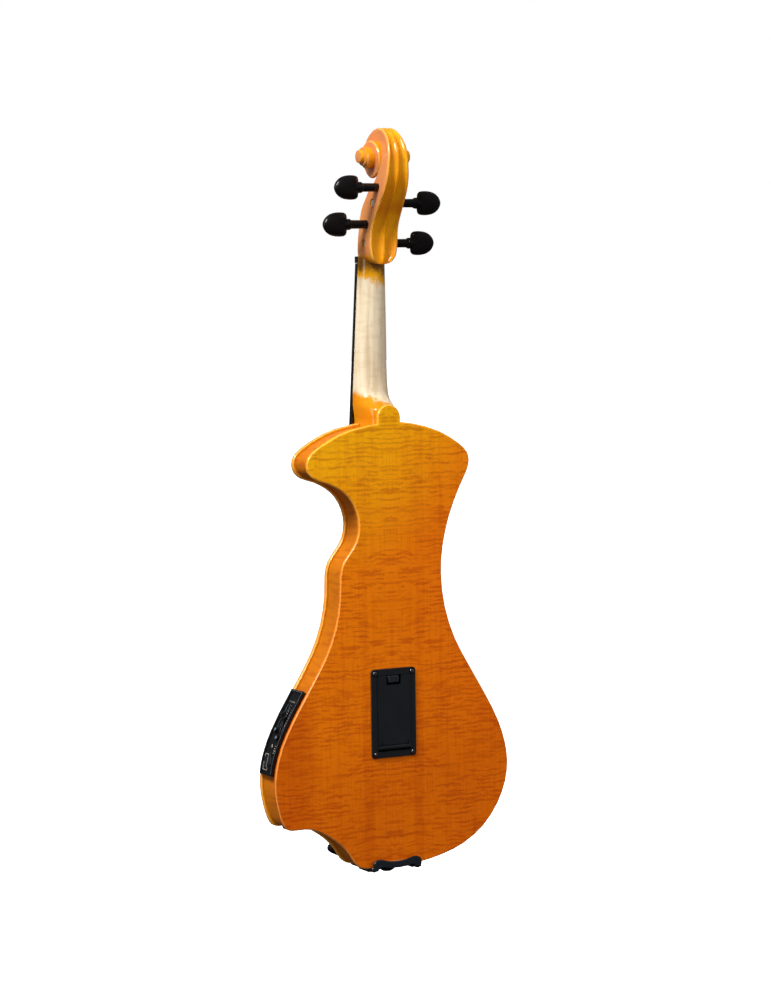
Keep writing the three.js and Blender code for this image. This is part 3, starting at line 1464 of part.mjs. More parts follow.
function batterySnap() {
  const middle = (snapBottom + snapTop) / 2;
  const cap = solid(block(snapWidth, snapDepth, snapThickness, 0, batteryY, middle));
  const depth = batteryTop + poleHeight + clearance - snapBottom;
  const sockets = poleRadii.map(([side, radius]) =>
    rod('z', radius + clearance, 2 * depth, at(side * poleSpread, batteryY, snapBottom), 12),
  );
  return cut(cap, ...sockets);
}
addPart(boxGroup, 'battery_snap', batterySnap(), materials.matte);

const coverScrewHeadRadius = 1.7;
const coverScrewHeadHeight = 1;
const coverScrewReach = 5;
const coverScrewTip = 1;
function coverScrew() {
  const shank = coverScrewRadius;
  const head = coverScrewHeadRadius;
  const seat = clearance;
  const profile = [
    [0, -coverScrewReach],
    [shank, coverScrewTip - coverScrewReach],
    [shank, seat],
    [head, seat],
    [head, seat + coverScrewHeadHeight * 0.5],
    [head * 0.7, seat + coverScrewHeadHeight * 0.9],
    [0, seat + coverScrewHeadHeight],
  ].map(([radius, along]) => flat(radius, along));
  return new THREE.LatheGeometry(profile, 10);
}
for (const { name, x, z } of coverScrewPlaces) {
  const screw = addPart(boxGroup, `cover_screw_${name}`, coverScrew(), materials.blackSteel);
  screw.position.set(x, coverProud, z);
}

// Preamp in the treble rib

const slotTravel = 12;
const sliderSlot = 2;
const slotRoom = 1;
const panelMiddle = -(panelFront + panelBack) / 2;
const panelLength = panelTop - panelBottom;
const panelHeight = (share) => panelTop - share * panelLength;
const panelBorder = 1.8;
const panelStep = 0.9;
const faceThickness = 2;

// Each control's place down the panel as a share of its length, and its offset towards the back
const sliders = [
  { name: 'volume_slider', share: 0.3, offset: -2.4 },
  { name: 'tone_slider', share: 0.345, offset: 4 },
];
const buttons = [
  { name: 'tuner_button', share: 0.485, offset: -2.4 },
  { name: 'phase_button', share: 0.56, offset: 4.1 },
];
const windowShare = 0.83;
const buttonRadius = 2;
const keyRise = 1.9;
const buttonCollar = 0.8;
const buttonCollarLength = 1.2;
const buttonCollarSetback = 1;
const capThickness = 1.8;
const capWidth = 4.2;
const capLength = 4.6;
const gripRise = 0.8;
const gripWidth = 0.9;
const housingWall = 1.2;
const housingDepth = 13;
const boardThickness = 1.4;
const boardInset = 4;
const windowWidth = 11;
const windowHeight = 9.4;
const windowThickness = 0.9;
const windowTurn = THREE.MathUtils.degToRad(24);

function placedCutter(share, geometry) {
  return geometry.applyMatrix4(ribGroup(panelHeight(share)).matrix);
}

function windowBlock(gap) {
  const depth = 2 * (windowThickness + gap);
  const pane = block(depth, windowWidth + 2 * gap, windowHeight + 2 * gap);
  return pane.rotateX(windowTurn).translate(panelProud, panelMiddle, 0);
}

function preampPanel() {
  const low = panelBottom + panelBorder;
  const high = panelTop - panelBorder;
  const face = slab(
    ribStrip(panelBottom, panelTop, clearance, panelProud + panelStep),
    -panelFront,
    -panelBack,
  );
  const recess = slab(
    ribStrip(low, high, panelProud, panelProud + panelStep * 3),
    -panelFront + panelBorder,
    -panelBack - panelBorder,
  );
  const inner = -ribThickness - housingDepth;
  const housing = preampOpening(inner, panelProud * 0.7, -clearance);
  const underFace = panelProud - faceThickness;
  const hollow = preampOpening(inner - housingDepth, underFace, -clearance - housingWall);
  const trackWidth = sliderSlot + 2 * clearance;
  const trackLength = slotTravel + sliderSlot + 2 * slotRoom;
  const slots = sliders.map(({ share, offset }) =>
    placedCutter(share, block(2 * housingDepth, trackWidth, trackLength, 0, panelMiddle + offset, 0)),
  );
  const buttonHoles = buttons.map(({ share, offset }) => {
    const middle = at(0, panelMiddle + offset, 0);
    return placedCutter(share, rod('x', buttonRadius + clearance, 2 * housingDepth, middle, 16));
  });
  const windowWell = placedCutter(windowShare, windowBlock(clearance));
  return cut(joined(face, housing), recess, hollow, ...slots, ...buttonHoles, windowWell);
}
addPart(violin, 'preamp_panel', preampPanel(), materials.matte);

const boardOuter = -ribThickness - housingDepth * 0.8 + boardThickness;
const boardFace = boardOuter - boardThickness;
const boardMargin = openingMargin + housingWall + 2 * clearance;
function preampBoard() {
  const low = panelBottom + openingMargin + boardInset;
  const high = panelTop - openingMargin - boardInset;
  const strip = ribStrip(low, high, boardFace, boardOuter);
  return slab(strip, frontInner + boardMargin, -panelBack - boardMargin);
}
addPart(violin, 'preamp_board', preampBoard(), materials.circuit);

for (const { name, share, offset } of sliders) {
  const group = ribGroup(panelHeight(share));
  violin.add(group);
  const y = panelMiddle + offset;
  const capInner = panelProud + 2 * clearance;
  const capOuter = capInner + capThickness;
  const stemInner = -ribThickness - housingDepth * 0.55;
  const stemOuter = capInner + capThickness / 2;
  const bar = (from, to, width, length) => block(to - from, width, length, (from + to) / 2, y, 0);
  const stem = bar(stemInner, stemOuter, sliderSlot, sliderSlot);
  const cap = bar(capInner, capOuter, capWidth, capLength);
  const grip = bar(stemOuter, capOuter + gripRise, capWidth, gripWidth);
  addPart(group, name, joined(stem, cap, grip), materials.gloss);
}

for (const { name, share, offset } of buttons) {
  const group = ribGroup(panelHeight(share));
  violin.add(group);
  const y = panelMiddle + offset;
  const inner = -ribThickness - housingDepth * 0.4;
  const outer = panelProud + keyRise;
  const stem = rod('x', buttonRadius, outer - inner, at((outer + inner) / 2, y, 0), 16);
  const collarPlace = at(-ribThickness - buttonCollarSetback, y, 0);
  const collar = rod('x', buttonRadius + buttonCollar, buttonCollarLength, collarPlace, 12);
  addPart(group, name, joined(stem, collar), materials.gloss);
}

const windowGroup = ribGroup(panelHeight(windowShare));
violin.add(windowGroup);
addPart(windowGroup, 'display_window', windowBlock(0), materials.window);

// Output jack in the scoop, its flange and nut outside and its socket inside

const bushReach = 2.6;
const jackBodyRadius = 6.6;
const jackEndWall = 2;
const jackFlangeRadius = 7.4;
const jackFlangeThickness = 0.7;
const jackNutRadius = 7;
const jackNutLength = 1.2;
const bushEnd = jackPlace.z - bushReach;
const socketFloor = bushEnd + plugDepth;
const jackEnd = socketFloor + jackEndWall;

function outputJack() {
  const inner = jackPlace.z + ribThickness + 2 * clearance;
  const bush = bushRadius - clearance;
  const profile = [
    [plugRadius, bushEnd],
    [bush, bushEnd],
    [bush, inner],
    [jackBodyRadius, inner],
    [jackBodyRadius, jackEnd],
    [0, jackEnd],
    [0, socketFloor],
    [plugRadius, socketFloor],
    [plugRadius, bushEnd],
  ].map(([radius, along]) => flat(radius, along));
  return new THREE.LatheGeometry(profile, 18).rotateX(quarterTurn);
}

function annulus(inner, outer, low, high, sides = 18) {
  const profile = [
    [inner, low], [outer, low], [outer, high], [inner, high], [inner, low],
  ].map(([radius, along]) => flat(radius, along));
  return new THREE.LatheGeometry(profile, sides).rotateX(quarterTurn);
}

const jackGroup = new THREE.Group();
jackGroup.position.set(jackPlace.x, jackPlace.y, 0);
violin.add(jackGroup);
addPart(jackGroup, 'output_jack', outputJack(), materials.matte);
const flangeTop = jackPlace.z - clearance;
const flangeBottom = flangeTop - jackFlangeThickness;
const jackFlange = annulus(bushRadius, jackFlangeRadius, flangeBottom, flangeTop);
addPart(jackGroup, 'jack_flange', jackFlange, materials.blackSteel);
const nutMiddle = at(0, 0, flangeBottom - clearance - jackNutLength / 2);
const jackHexagon = rod('z', jackNutRadius, jackNutLength, nutMiddle, 6);
const jackNutHole = rod('z', bushRadius, jackNutLength * 2, nutMiddle, 20);
addPart(jackGroup, 'jack_nut', cut(solid(jackHexagon), jackNutHole), materials.nickel);

// Leads inside the body, from pickup, battery and jack to the circuit board

const cavityMiddle = -bodyDepth / 2;
const boardInner = boardFace - clearance - leadRadius;
const boardPoint = (share, y) => {
  const place = ribPlace(panelHeight(share));
  return at(
    place.point.x + place.out.x * boardInner,
    y,
    place.point.y + place.out.y * boardInner,
  );
};
const snapEnd = batteryCoverHeight + batteryLeadHeight;
const leadRoutes = {
  pickup_lead: [
    at(pickupHoleX, frontInner + 2.6, bridgeHeight),
    at(pickupHoleX + 6, cavityMiddle, bridgeHeight + 8),
    at(40, cavityMiddle, bridgeHeight + 4),
    boardPoint(0.22, cavityMiddle).add(at(-8, 0, 0)),
    boardPoint(0.22, cavityMiddle),
  ],
  battery_lead: [
    at(2, batteryY, batteryCoverHeight + snapTop + clearance + leadRadius),
    at(8, batteryY, snapEnd),
    at(trayWidth / 2 - 3, batteryY, snapEnd),
    at(trayWidth / 2 + 6, batteryY, snapEnd),
    at(44, batteryY - 2, snapEnd - 14),
    boardPoint(0.6, cavityMiddle).add(at(-8, 0, 0)),
    boardPoint(0.6, cavityMiddle),
  ],
  jack_lead: [
    at(jackPlace.x, cavityMiddle, jackEnd + clearance * 2 + leadRadius),
    at(jackPlace.x - 3, cavityMiddle, jackEnd + 8),
    boardPoint(0.86, cavityMiddle).add(at(-6, 0, -3)),
    boardPoint(0.8, cavityMiddle),
  ],
};
for (const [name, route] of Object.entries(leadRoutes)) {
  addPart(violin, name, tube(smooth(route, 12), leadRadius, 6), materials.lead);
}

// The violin hangs from a fork under its scroll, so its origin lies in the neck below the chin
const hangDrop = 8;
const hangPoint = onNeck(0, neckThickness / 2, headStart - hangDrop);
violin.position.copy(hangPoint).negate();

const root = new THREE.Group();
root.add(violin);

export default root;
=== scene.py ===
import json
import math

import bmesh
import bpy
import numpy as np
from mathutils import Matrix, Vector
from mathutils.bvhtree import BVHTree


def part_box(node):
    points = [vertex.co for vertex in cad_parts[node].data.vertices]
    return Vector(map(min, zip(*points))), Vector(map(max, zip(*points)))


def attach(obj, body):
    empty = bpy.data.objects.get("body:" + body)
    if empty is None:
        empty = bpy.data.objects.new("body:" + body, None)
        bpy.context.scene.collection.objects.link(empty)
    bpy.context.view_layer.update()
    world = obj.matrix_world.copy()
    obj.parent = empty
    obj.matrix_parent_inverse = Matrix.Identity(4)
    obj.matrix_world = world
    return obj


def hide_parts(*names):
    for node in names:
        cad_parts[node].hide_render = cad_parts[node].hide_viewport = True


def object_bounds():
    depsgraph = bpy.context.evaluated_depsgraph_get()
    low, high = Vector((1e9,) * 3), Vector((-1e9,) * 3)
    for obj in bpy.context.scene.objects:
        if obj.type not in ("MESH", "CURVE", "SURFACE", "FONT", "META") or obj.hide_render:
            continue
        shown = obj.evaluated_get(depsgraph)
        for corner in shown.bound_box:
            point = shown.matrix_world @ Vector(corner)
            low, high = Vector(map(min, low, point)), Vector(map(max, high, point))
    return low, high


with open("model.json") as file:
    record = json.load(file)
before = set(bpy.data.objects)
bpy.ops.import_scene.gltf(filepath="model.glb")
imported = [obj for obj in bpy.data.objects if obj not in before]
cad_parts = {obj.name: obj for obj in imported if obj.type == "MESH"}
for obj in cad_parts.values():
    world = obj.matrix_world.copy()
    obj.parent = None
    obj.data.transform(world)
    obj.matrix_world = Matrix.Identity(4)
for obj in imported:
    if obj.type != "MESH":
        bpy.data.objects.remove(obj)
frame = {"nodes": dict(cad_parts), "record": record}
cad_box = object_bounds()
nodes = frame["nodes"]
scene = bpy.context.scene
mm = 0.001

# The body's own frame has its origin on the back's outer face at the lower edge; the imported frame
# has its origin in the neck below the pegbox
body_origin = Vector((0, 22.1697, -477.7225)) * mm


def at(x, y, z):
    """A place in the body's frame, in millimetres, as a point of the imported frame."""
    return body_origin + Vector((x, y, z)) * mm


class Nodes:
    """A node tree, with short words for the nodes used here."""

    def __init__(self, tree):
        self.tree = tree

    def feed(self, socket, value):
        """Gives a socket a value or another socket to follow; a colour gets its fourth part."""
        if isinstance(value, bpy.types.NodeSocket):
            self.tree.links.new(value, socket)
        elif isinstance(value, tuple) and socket.type == "RGBA":
            socket.default_value = (*value, 1)
        else:
            socket.default_value = value

    def node(self, kind, inputs=None, **settings):
        made = self.tree.nodes.new("ShaderNode" + kind)
        for key, value in settings.items():
            setattr(made, key, value)
        for key, value in (inputs or {}).items():
            self.feed(made.inputs[key], value)
        return made

    def axes(self, vector):
        return self.node("SeparateXYZ", {0: vector}).outputs

    def vector(self, x, y, z):
        return self.node("CombineXYZ", {0: x, 1: y, 2: z}).outputs[0]

    def sum(self, operation, a, b=0.0, c=0.0):
        """A Math node of one, two or three values."""
        return self.node("Math", {0: a, 1: b, 2: c}, operation=operation).outputs[0]

    def times(self, a, b, plus=0.0):
        """a times b, and what is added to that."""
        return self.sum("MULTIPLY_ADD", a, b, plus)


class Look(Nodes):
    """A material, given as values and links of its shader."""

    def __init__(self, name, **values):
        self.made = bpy.data.materials.new(name)
        self.made.use_nodes = True
        super().__init__(self.made.node_tree)
        self.shader = self.tree.nodes["Principled BSDF"]
        for key, value in values.items():
            self.set(key, value)

    def set(self, key, value):
        name = key.replace("_", " ").title().replace("Ior", "IOR")
        self.feed(self.shader.inputs[name], value)

    def place(self):
        """Where a surface is, in metres, riding with its piece."""
        return self.node("TexCoord").outputs["Object"]

    def noise(self, vector, scale, detail=2.0, roughness=0.5):
        inputs = {"Vector": vector, "Scale": scale, "Detail": detail, "Roughness": roughness}
        return self.node("TexNoise", inputs).outputs["Fac"]

    def range(self, value, low, high, start=0.0, end=1.0):
        """From start to end, smoothly, as the value goes from low to high."""
        inputs = {0: value, 1: low, 2: high, 3: start, 4: end}
        return self.node("MapRange", inputs, interpolation_type="SMOOTHSTEP").outputs[0]

    def ramp(self, value, *stops):
        made = self.node("ValToRGB", {0: value})
        elements = made.color_ramp.elements
        while len(elements) < len(stops):
            elements.new(0.5)
        for element, (position, colour) in zip(elements, stops):
            element.position = position
            element.color = (*colour, 1)
        return made.outputs[0]

    def mix(self, share, first, second, blend="MIX"):
        made = self.node("Mix", data_type="RGBA", blend_type=blend)
        wanted = {"Factor_Float": share, "A_Color": first, "B_Color": second}
        for socket in made.inputs:
            if socket.identifier in wanted:
                self.feed(socket, wanted[socket.identifier])
        return next(s for s in made.outputs if s.identifier == "Result_Color")

    def darker(self, share, base, tint):
        """The base with a share of it multiplied by a tint."""
        return self.mix(share, base, self.mix(1.0, base, tint, "MULTIPLY"))

    def bump(self, height, distance, strength):
        inputs = {"Height": height, "Distance": distance, "Strength": strength}
        self.set("normal", self.node("Bump", inputs).outputs[0])


# Camera, light and floor


def camera():
    """The photo's camera, as fitted to the body's outline, the neck and the pegs."""
    azimuth, elevation, roll = 0.488707592, 0.0752672235, -0.014281151
    distance = 2372.38793 * mm
    target = at(-0.6, 0, -1)
    aside, rise = -8.39590548 * mm, 294.190967 * mm
    # The focal length and the long side of the picture in pixels, the sensor in millimetres
    focal, long_side, sensor = 2960.59355, 1000, 36
    flat = math.cos(elevation)
    back = Vector((math.sin(azimuth) * flat, math.cos(azimuth) * flat, math.sin(elevation)))
    level = (-back).cross(Vector((0, 0, 1))).normalized()
    upright = level.cross(-back)
    right = level * math.cos(roll) + upright * math.sin(roll)
    up = upright * math.cos(roll) - level * math.sin(roll)
    eye = bpy.data.objects.new("camera", bpy.data.cameras.new("camera"))
    scene.collection.objects.link(eye)
    place = target + right * aside + up * rise + back * distance
    turn = Matrix((right, up, back)).transposed().to_4x4()
    eye.matrix_world = Matrix.Translation(place) @ turn
    eye.data.sensor_width = sensor
    eye.data.lens = sensor * focal / long_side
    eye.data.clip_start = 0.05
    eye.data.clip_end = 50
    scene.camera = eye


# Place, size and watts of each lamp. A glint shows in reflections alone, the rest in diffuse light
lamps = {
    "key": ((1.85, 0.83, 1.9), (0.8, 0.8), 92),
    "fill": ((-0.6, 2.2, 0.4), (1.2, 1.6), 12.5),
    "edge": ((1.5, -0.9, 1.9), (0.6, 1.2), 9),
    "front": ((-0.7, -2.2, 1.0), (1.4, 1.4), 45),
    "glint": ((1.73, 1.12, 1.5), (0.85, 0.85), 62),
    "sheen": ((2.1, 0.1, 0.4), (0.5, 1.8), 10),
}
glints = ("glint", "sheen")


def softbox(name, place, size, watts):
    """A soft lamp aimed at the middle of the body."""
    target = at(0, -14, 260)
    lamp = bpy.data.lights.new(name, "AREA")
    lamp.shape = "RECTANGLE"
    lamp.size, lamp.size_y = size
    lamp.energy = watts
    holder = bpy.data.objects.new(name, lamp)
    scene.collection.objects.link(holder)
    holder.visible_glossy = name in glints
    holder.visible_diffuse = name not in glints
    holder.location = place
    holder.rotation_mode = "QUATERNION"
    holder.rotation_quaternion = (target - Vector(place)).to_track_quat("-Z", "Y")


def studio():
    """White behind the object, soft light from above and little from below."""
    world = bpy.data.worlds.new("studio")
    scene.world = world
    world.use_nodes = True
    sky = Nodes(world.node_tree)
    background = sky.tree.nodes["Background"]
    sky.feed(background.inputs["Color"], (1, 1, 1))
    # The sky's light from below the horizon up, and how much of it reflections lose
    low, high, lost = 0.12, 0.62, 0.7
    height = sky.axes(sky.node("TexCoord").outputs["Generated"])[2]
    light = sky.node("MapRange", {0: height, 1: -0.5, 2: 0.8, 3: low, 4: high}).outputs[0]
    seen = sky.node("LightPath").outputs
    kept = sky.times(seen["Is Glossy Ray"], -lost, 1.0)
    strength = sky.sum("MAXIMUM", sky.times(light, kept), seen["Is Camera Ray"])
    sky.feed(background.inputs["Strength"], strength)
    scene.view_settings.view_transform = "Standard"
    for name, (place, size, watts) in lamps.items():
        softbox(name, place, size, watts)


def floor():
    """A plain pale floor below the violin, which throws no light on it."""
    mesh = bpy.data.meshes.new("floor")
    wide, drop = 24, 0.35
    low = cad_box[0].z - drop
    corners = [(-wide, -wide, low), (wide, -wide, low), (wide, wide, low), (-wide, wide, low)]
    mesh.from_pydata(corners, [], [(0, 1, 2, 3)])
    made = bpy.data.objects.new("floor", mesh)
    scene.collection.objects.link(made)
    look = Look("floor", base_color=(0.9, 0.9, 0.9), roughness=0.9, emission_color=(1, 1, 1))
    look.set("emission_strength", 1.0)
    mesh.materials.append(look.made)
    made.visible_diffuse = made.visible_glossy = made.visible_shadow = False


camera()
studio()
floor()

# Materials


def srgb(red, green, blue):
    """A colour as a screen shows it, from 0 to 255, in linear light."""
    return tuple(
        value / 255 / 12.92 if value <= 10 else ((value / 255 + 0.055) / 1.055) ** 2.4
        for value in (red, green, blue)
    )


varnish = {"coat_weight": 0.12, "coat_roughness": 0.1}


def flame(look, across, up, deep):
    """Curly figure: short wavy bands across the grain, broken by fine lines along it."""
    sway = look.noise(look.vector(across, deep, up), 22, 1.0)
    lift = look.times(sway, 0.01, up)
    fine_sway = look.noise(look.vector(across, deep, up), 130, 1.0)
    lift = look.times(fine_sway, 0.0026, lift)

    def stretched(share):
        """The figure's own coordinates, drawn out across the body."""
        return look.vector(look.times(across, share), deep, lift)

    bands = look.noise(stretched(0.15), 470, 2.0, 0.6)
    beat = look.sum("SINE", look.times(lift, 1780))
    curls = look.range(look.times(beat, 0.075, bands), 0.45, 0.64)
    fine = look.range(look.noise(stretched(0.25), 950, 1.0), 0.5, 0.72)
    broad = look.noise(stretched(0.5), 55, 2.0)
    grain = look.noise(look.vector(across, deep, look.times(up, 0.03)), 1000, 2.0)
    return curls, fine, broad, grain


def edge_light(look):
    """1 where a surface turns between facing along Y and facing across it, as bevelled edges do:
    where the plates get a painted highlight.
    """
    facing = look.axes(look.node("TexCoord").outputs["Normal"])[1]
    facing = look.sum("ABSOLUTE", facing)
    rise = look.range(facing, 0.3, 0.45)
    return look.times(rise, look.range(facing, 0.86, 0.96, 1.0, 0.0))


def maple_back():
    """Flamed maple under amber varnish, golden above on the treble side and deeper below: partly
    the varnish's shading, partly painted light.
    """
    look = Look("varnished_maple", roughness=0.3, specular_ior_level=0.12, **varnish)
    place = look.place()
    x, y, z = look.axes(place)
    across = look.sum("ABSOLUTE", x)
    curls, fine, broad, grain = flame(look, across, z, y)
    # Painted light: this slope from deep to golden stands partly for the varnish's own shading and
    # partly for the lamp's light coming from the upper treble side
    light_and_varnish_slope = look.times(x, 0.55, z)
    tone = look.range(light_and_varnish_slope, -0.46, 0.0, 0.16, 1.0)
    cloud = look.noise(place, 9, 2.0)
    tone = look.sum("ADD", tone, look.times(cloud, 0.24, -0.12))
    base = look.ramp(
        tone,
        (0.0, srgb(198, 84, 0)),
        (0.3, srgb(234, 119, 0)),
        (0.6, srgb(240, 126, 0)),
        (1.0, srgb(255, 192, 0)),
    )
    # Deeper along the upper bass edge and the lower treble edge
    upper = look.range(z, -0.42, -0.25, 0.2, 1.0)
    bass = look.times(look.range(x, -0.11, 0.02, 0.6, 0.0), upper)
    base = look.mix(bass, base, srgb(234, 102, 0))
    lower = look.range(z, -0.36, -0.3, 1.0, 0.0)
    treble = look.times(look.range(x, 0.06, 0.085, 0.0, 0.55), lower)
    base = look.mix(treble, base, srgb(196, 78, 0))
    strong = look.times(curls, look.range(broad, 0.3, 0.7, 0.45, 0.85))
    wood = look.darker(strong, base, srgb(218, 188, 124))
    wood = look.darker(look.times(fine, 0.4), wood, srgb(222, 196, 150))
    wood = look.darker(look.range(grain, 0.5, 0.72, 0.0, 0.3), wood, srgb(214, 176, 120))
    lines = look.noise(look.vector(across, y, look.times(z, 0.02)), 210, 2.0)
    wood = look.darker(look.range(lines, 0.45, 0.7, 0.0, 0.32), wood, srgb(226, 194, 140))
    # Painted highlight: a lighter line on the back's bevelled edges, where the chamfer catches the
    # light
    painted_edge_highlight = look.times(edge_light(look), 0.42)
    look.set("base_color", look.mix(painted_edge_highlight, wood, srgb(252, 186, 96)))
    look.set("roughness", look.range(broad, 0.2, 0.8, 0.24, 0.36))
    look.bump(look.times(curls, 0.6, grain), 0.00003, 0.35)
    return look.made


def rib_wood():
    """The ribs' maple, redder, with bands from plate to plate, which vary along X and Z alone."""
    look = Look("rib_maple", roughness=0.38, coat_weight=0.07, coat_roughness=0.12)
    look.set("specular_ior_level", 0.12)
    place = look.place()
    x, y, z = look.axes(place)
    along = look.times(look.noise(place, 40, 1.0), 0.006, z)
    bands = look.noise(look.vector(x, look.times(y, 0.12), along), 300, 2.0)
    cloud = look.noise(place, 20, 2.0)
    short = look.vector(look.times(x, 0.1), y, look.times(z, 0.1))
    grain = look.noise(short, 1100, 2.0)
    base = look.mix(cloud, srgb(188, 98, 6), srgb(214, 124, 10))
    wood = look.mix(look.range(bands, 0.45, 0.7, 0.0, 0.45), base, srgb(160, 72, 8))
    wood = look.mix(look.range(grain, 0.5, 0.75, 0.0, 0.22), wood, srgb(160, 70, 2))
    look.set("base_color", wood)
    look.bump(grain, 0.00002, 0.3)
    return look.made


def spruce_front():
    """Straight-grained spruce under the same varnish, its rings mirrored about the middle."""
    look = Look("front_wood", roughness=0.3, specular_ior_level=0.15, **varnish)
    place = look.place()
    x, y, z = look.axes(place)
    across = look.sum("ABSOLUTE", x)
    wander = look.times(look.noise(place, 7, 2.0), 0.016, across)
    rings = look.sum("SINE", look.times(wander, 3600))
    drawn = look.vector(look.times(x, 2.5), y, look.times(z, 0.2))
    fade = look.range(look.noise(drawn, 40, 3.0), 0.35, 0.65, 0.05, 0.4)
    cloud = look.noise(place, 10, 2.0)
    base = look.mix(cloud, srgb(222, 126, 6), srgb(244, 158, 14))
    share = look.times(look.range(rings, 0.1, 1.0), fade)
    lined = look.mix(share, base, srgb(176, 82, 4))
    silk = look.noise(look.vector(look.times(x, 0.3), y, z), 420, 1.0)
    wood = look.mix(look.range(silk, 0.5, 0.8, 0.0, 0.12), lined, srgb(250, 190, 70))
    # Painted highlight: a lighter line on the front's bevelled edges, where the chamfer catches the
    # light
    painted_edge_highlight = look.times(edge_light(look), 0.6)
    look.set("base_color", look.mix(painted_edge_highlight, wood, srgb(255, 196, 104)))
    look.bump(rings, 0.00002, 0.25)
    return look.made


def neck_wood(name, varnished_all):
    """Maple: varnished amber all over for the head, else bare with amber at both ends."""
    look = Look(name, coat_weight=0.35, coat_roughness=0.2, specular_ior_level=0.35)
    place = look.place()
    x, y, z = look.axes(place)
    sway = look.times(look.noise(place, 60, 1.0), 0.008, z)
    wide = look.vector(look.times(x, 0.25), look.times(y, 0.25), sway)
    bands = look.range(look.noise(wide, 300, 2.0), 0.45, 0.68)
    fleck = look.noise(look.vector(x, y, look.times(z, 0.025)), 1500, 3.0)
    cloud = look.noise(place, 26, 2.0)
    amber = look.mix(look.range(cloud, 0.3, 0.7), srgb(232, 136, 0), srgb(255, 182, 6))
    amber = look.mix(look.times(bands, 0.14), amber, srgb(206, 100, 0))
    amber = look.mix(look.range(fleck, 0.5, 0.8, 0.0, 0.16), amber, srgb(190, 90, 0))
    if varnished_all:
        # Painted sheen: the head's side faces, which face along X, get a paler pink tint for the
        # light they reflect
        facing = look.axes(look.node("TexCoord").outputs["Normal"])[0]
        painted_side_sheen = look.range(look.sum("ABSOLUTE", facing), 0.9, 0.99, 0.0, 0.75)
        wood = look.mix(painted_side_sheen, amber, srgb(206, 128, 88))
        # Painted highlight: a pale line along the head's bevelled edges
        line = look.node("Attribute", attribute_name="edge").outputs["Fac"]
        line = look.times(line, 0.6)
        look.set("base_color", look.mix(line, wood, srgb(244, 176, 104)))
        look.set("roughness", look.range(cloud, 0.2, 0.8, 0.2, 0.32))
        look.bump(fleck, 0.00002, 0.3)
        return look.made
    streak = look.noise(look.vector(x, y, look.times(z, 0.04)), 260, 2.0)
    bare = look.mix(look.range(streak, 0.3, 0.75), srgb(238, 220, 188), srgb(214, 190, 152))
    bare = look.mix(look.range(fleck, 0.5, 0.8, 0.0, 0.45), bare, srgb(186, 154, 112))
    bare = look.mix(look.times(bands, 0.22), bare, srgb(196, 168, 126))
    # The varnish ends in a ragged line below the head and above the heel, each at a slant
    ragged = look.noise(look.vector(x, y, look.times(z, 0.6)), 130, 4.0, 0.7)
    edge = look.times(ragged, 0.018, z)
    edge = look.times(look.noise(place, 45, 1.0), 0.004, edge)
    head = look.range(look.times(x, -0.3, edge), -0.002, 0.003)
    # Painted shadow: dark brown just below the chin, where the overhanging head throws its shadow
    # on the neck
    painted_chin_shadow = look.range(look.times(x, -0.2, edge), 0.003, 0.012, 0.0, 0.85)
    heel = look.range(look.times(x, -0.55, edge), -0.098, -0.092, 1.0, 0.0)
    varnished = look.sum("MAXIMUM", head, heel)
    rim = look.mix(painted_chin_shadow, look.mix(0.75, amber, srgb(226, 158, 0)), srgb(96, 58, 10))
    coloured = look.mix(heel, rim, look.mix(0.6, amber, srgb(216, 134, 0)))
    look.set("base_color", look.mix(varnished, bare, coloured))
    look.set("roughness", look.range(varnished, 0.0, 1.0, 0.5, 0.16))
    look.bump(fleck, 0.00003, 0.3)
    return look.made


def ebony_wood():
    look = Look("ebony", specular_ior_level=0.3)
    x, y, z = look.axes(look.place())
    grain = look.noise(look.vector(x, y, look.times(z, 0.03)), 1100, 3.0)
    pores = look.range(grain, 0.45, 0.75)
    look.set("base_color", look.mix(pores, (0.006, 0.005, 0.005), (0.018, 0.012, 0.009)))
    look.set("roughness", look.range(grain, 0.3, 0.8, 0.22, 0.42))
    look.bump(grain, 0.00002, 0.3)
    return look.made


def black_plastic(name, colour, roughness, grain_size, depth):
    """Dark plastic or paint: smeared a little, with a grain of a given size and depth."""
    look = Look(name, specular_ior_level=0.3)
    place = look.place()
    grain = look.noise(place, grain_size, 2.0)
    smear = look.noise(place, 45, 2.0)
    dark = tuple(c * 0.8 for c in colour)
    look.set("base_color", look.mix(smear, dark, colour))
    look.set("roughness", look.range(smear, 0.3, 0.7, roughness - 0.06, roughness + 0.06))
    look.bump(grain, depth, 0.5)
    return look.made


def metal(name, colour, roughness):
    """Metal with fine scratches along Z."""
    look = Look(name, metallic=1.0)
    place = look.place()
    along = look.node("Mapping", {0: place, "Scale": (1, 1, 6)}).outputs[0]
    scratch = look.noise(along, 900, 2.0)
    smear = look.noise(place, 120, 2.0)
    dark = tuple(c * 0.85 for c in colour)
    look.set("base_color", look.mix(smear, dark, colour))
    look.set("roughness", look.range(scratch, 0.3, 0.7, roughness - 0.06, roughness + 0.08))
    return look.made


def speckled(name, light, dark, size, roughness, depth):
    """Two tones in grains of a given size, as in cork, board or bone."""
    look = Look(name, roughness=roughness)
    grains = look.noise(look.place(), size, 3.0, 0.6)
    look.set("base_color", look.mix(look.range(grains, 0.42, 0.62), dark, light))
    look.bump(grains, depth, 0.6)
    return look.made


looks = {
    "varnished_maple": maple_back(),
    "rib_maple": rib_wood(),
    "front_wood": spruce_front(),
    "neck_maple": neck_wood("neck_maple", False),
    "head_maple": neck_wood("head_maple", True),
    "ebony": ebony_wood(),
    "circuit": speckled("circuit", (0.01, 0.09, 0.035), (0.005, 0.05, 0.02), 500, 0.35, 0.00003),
}
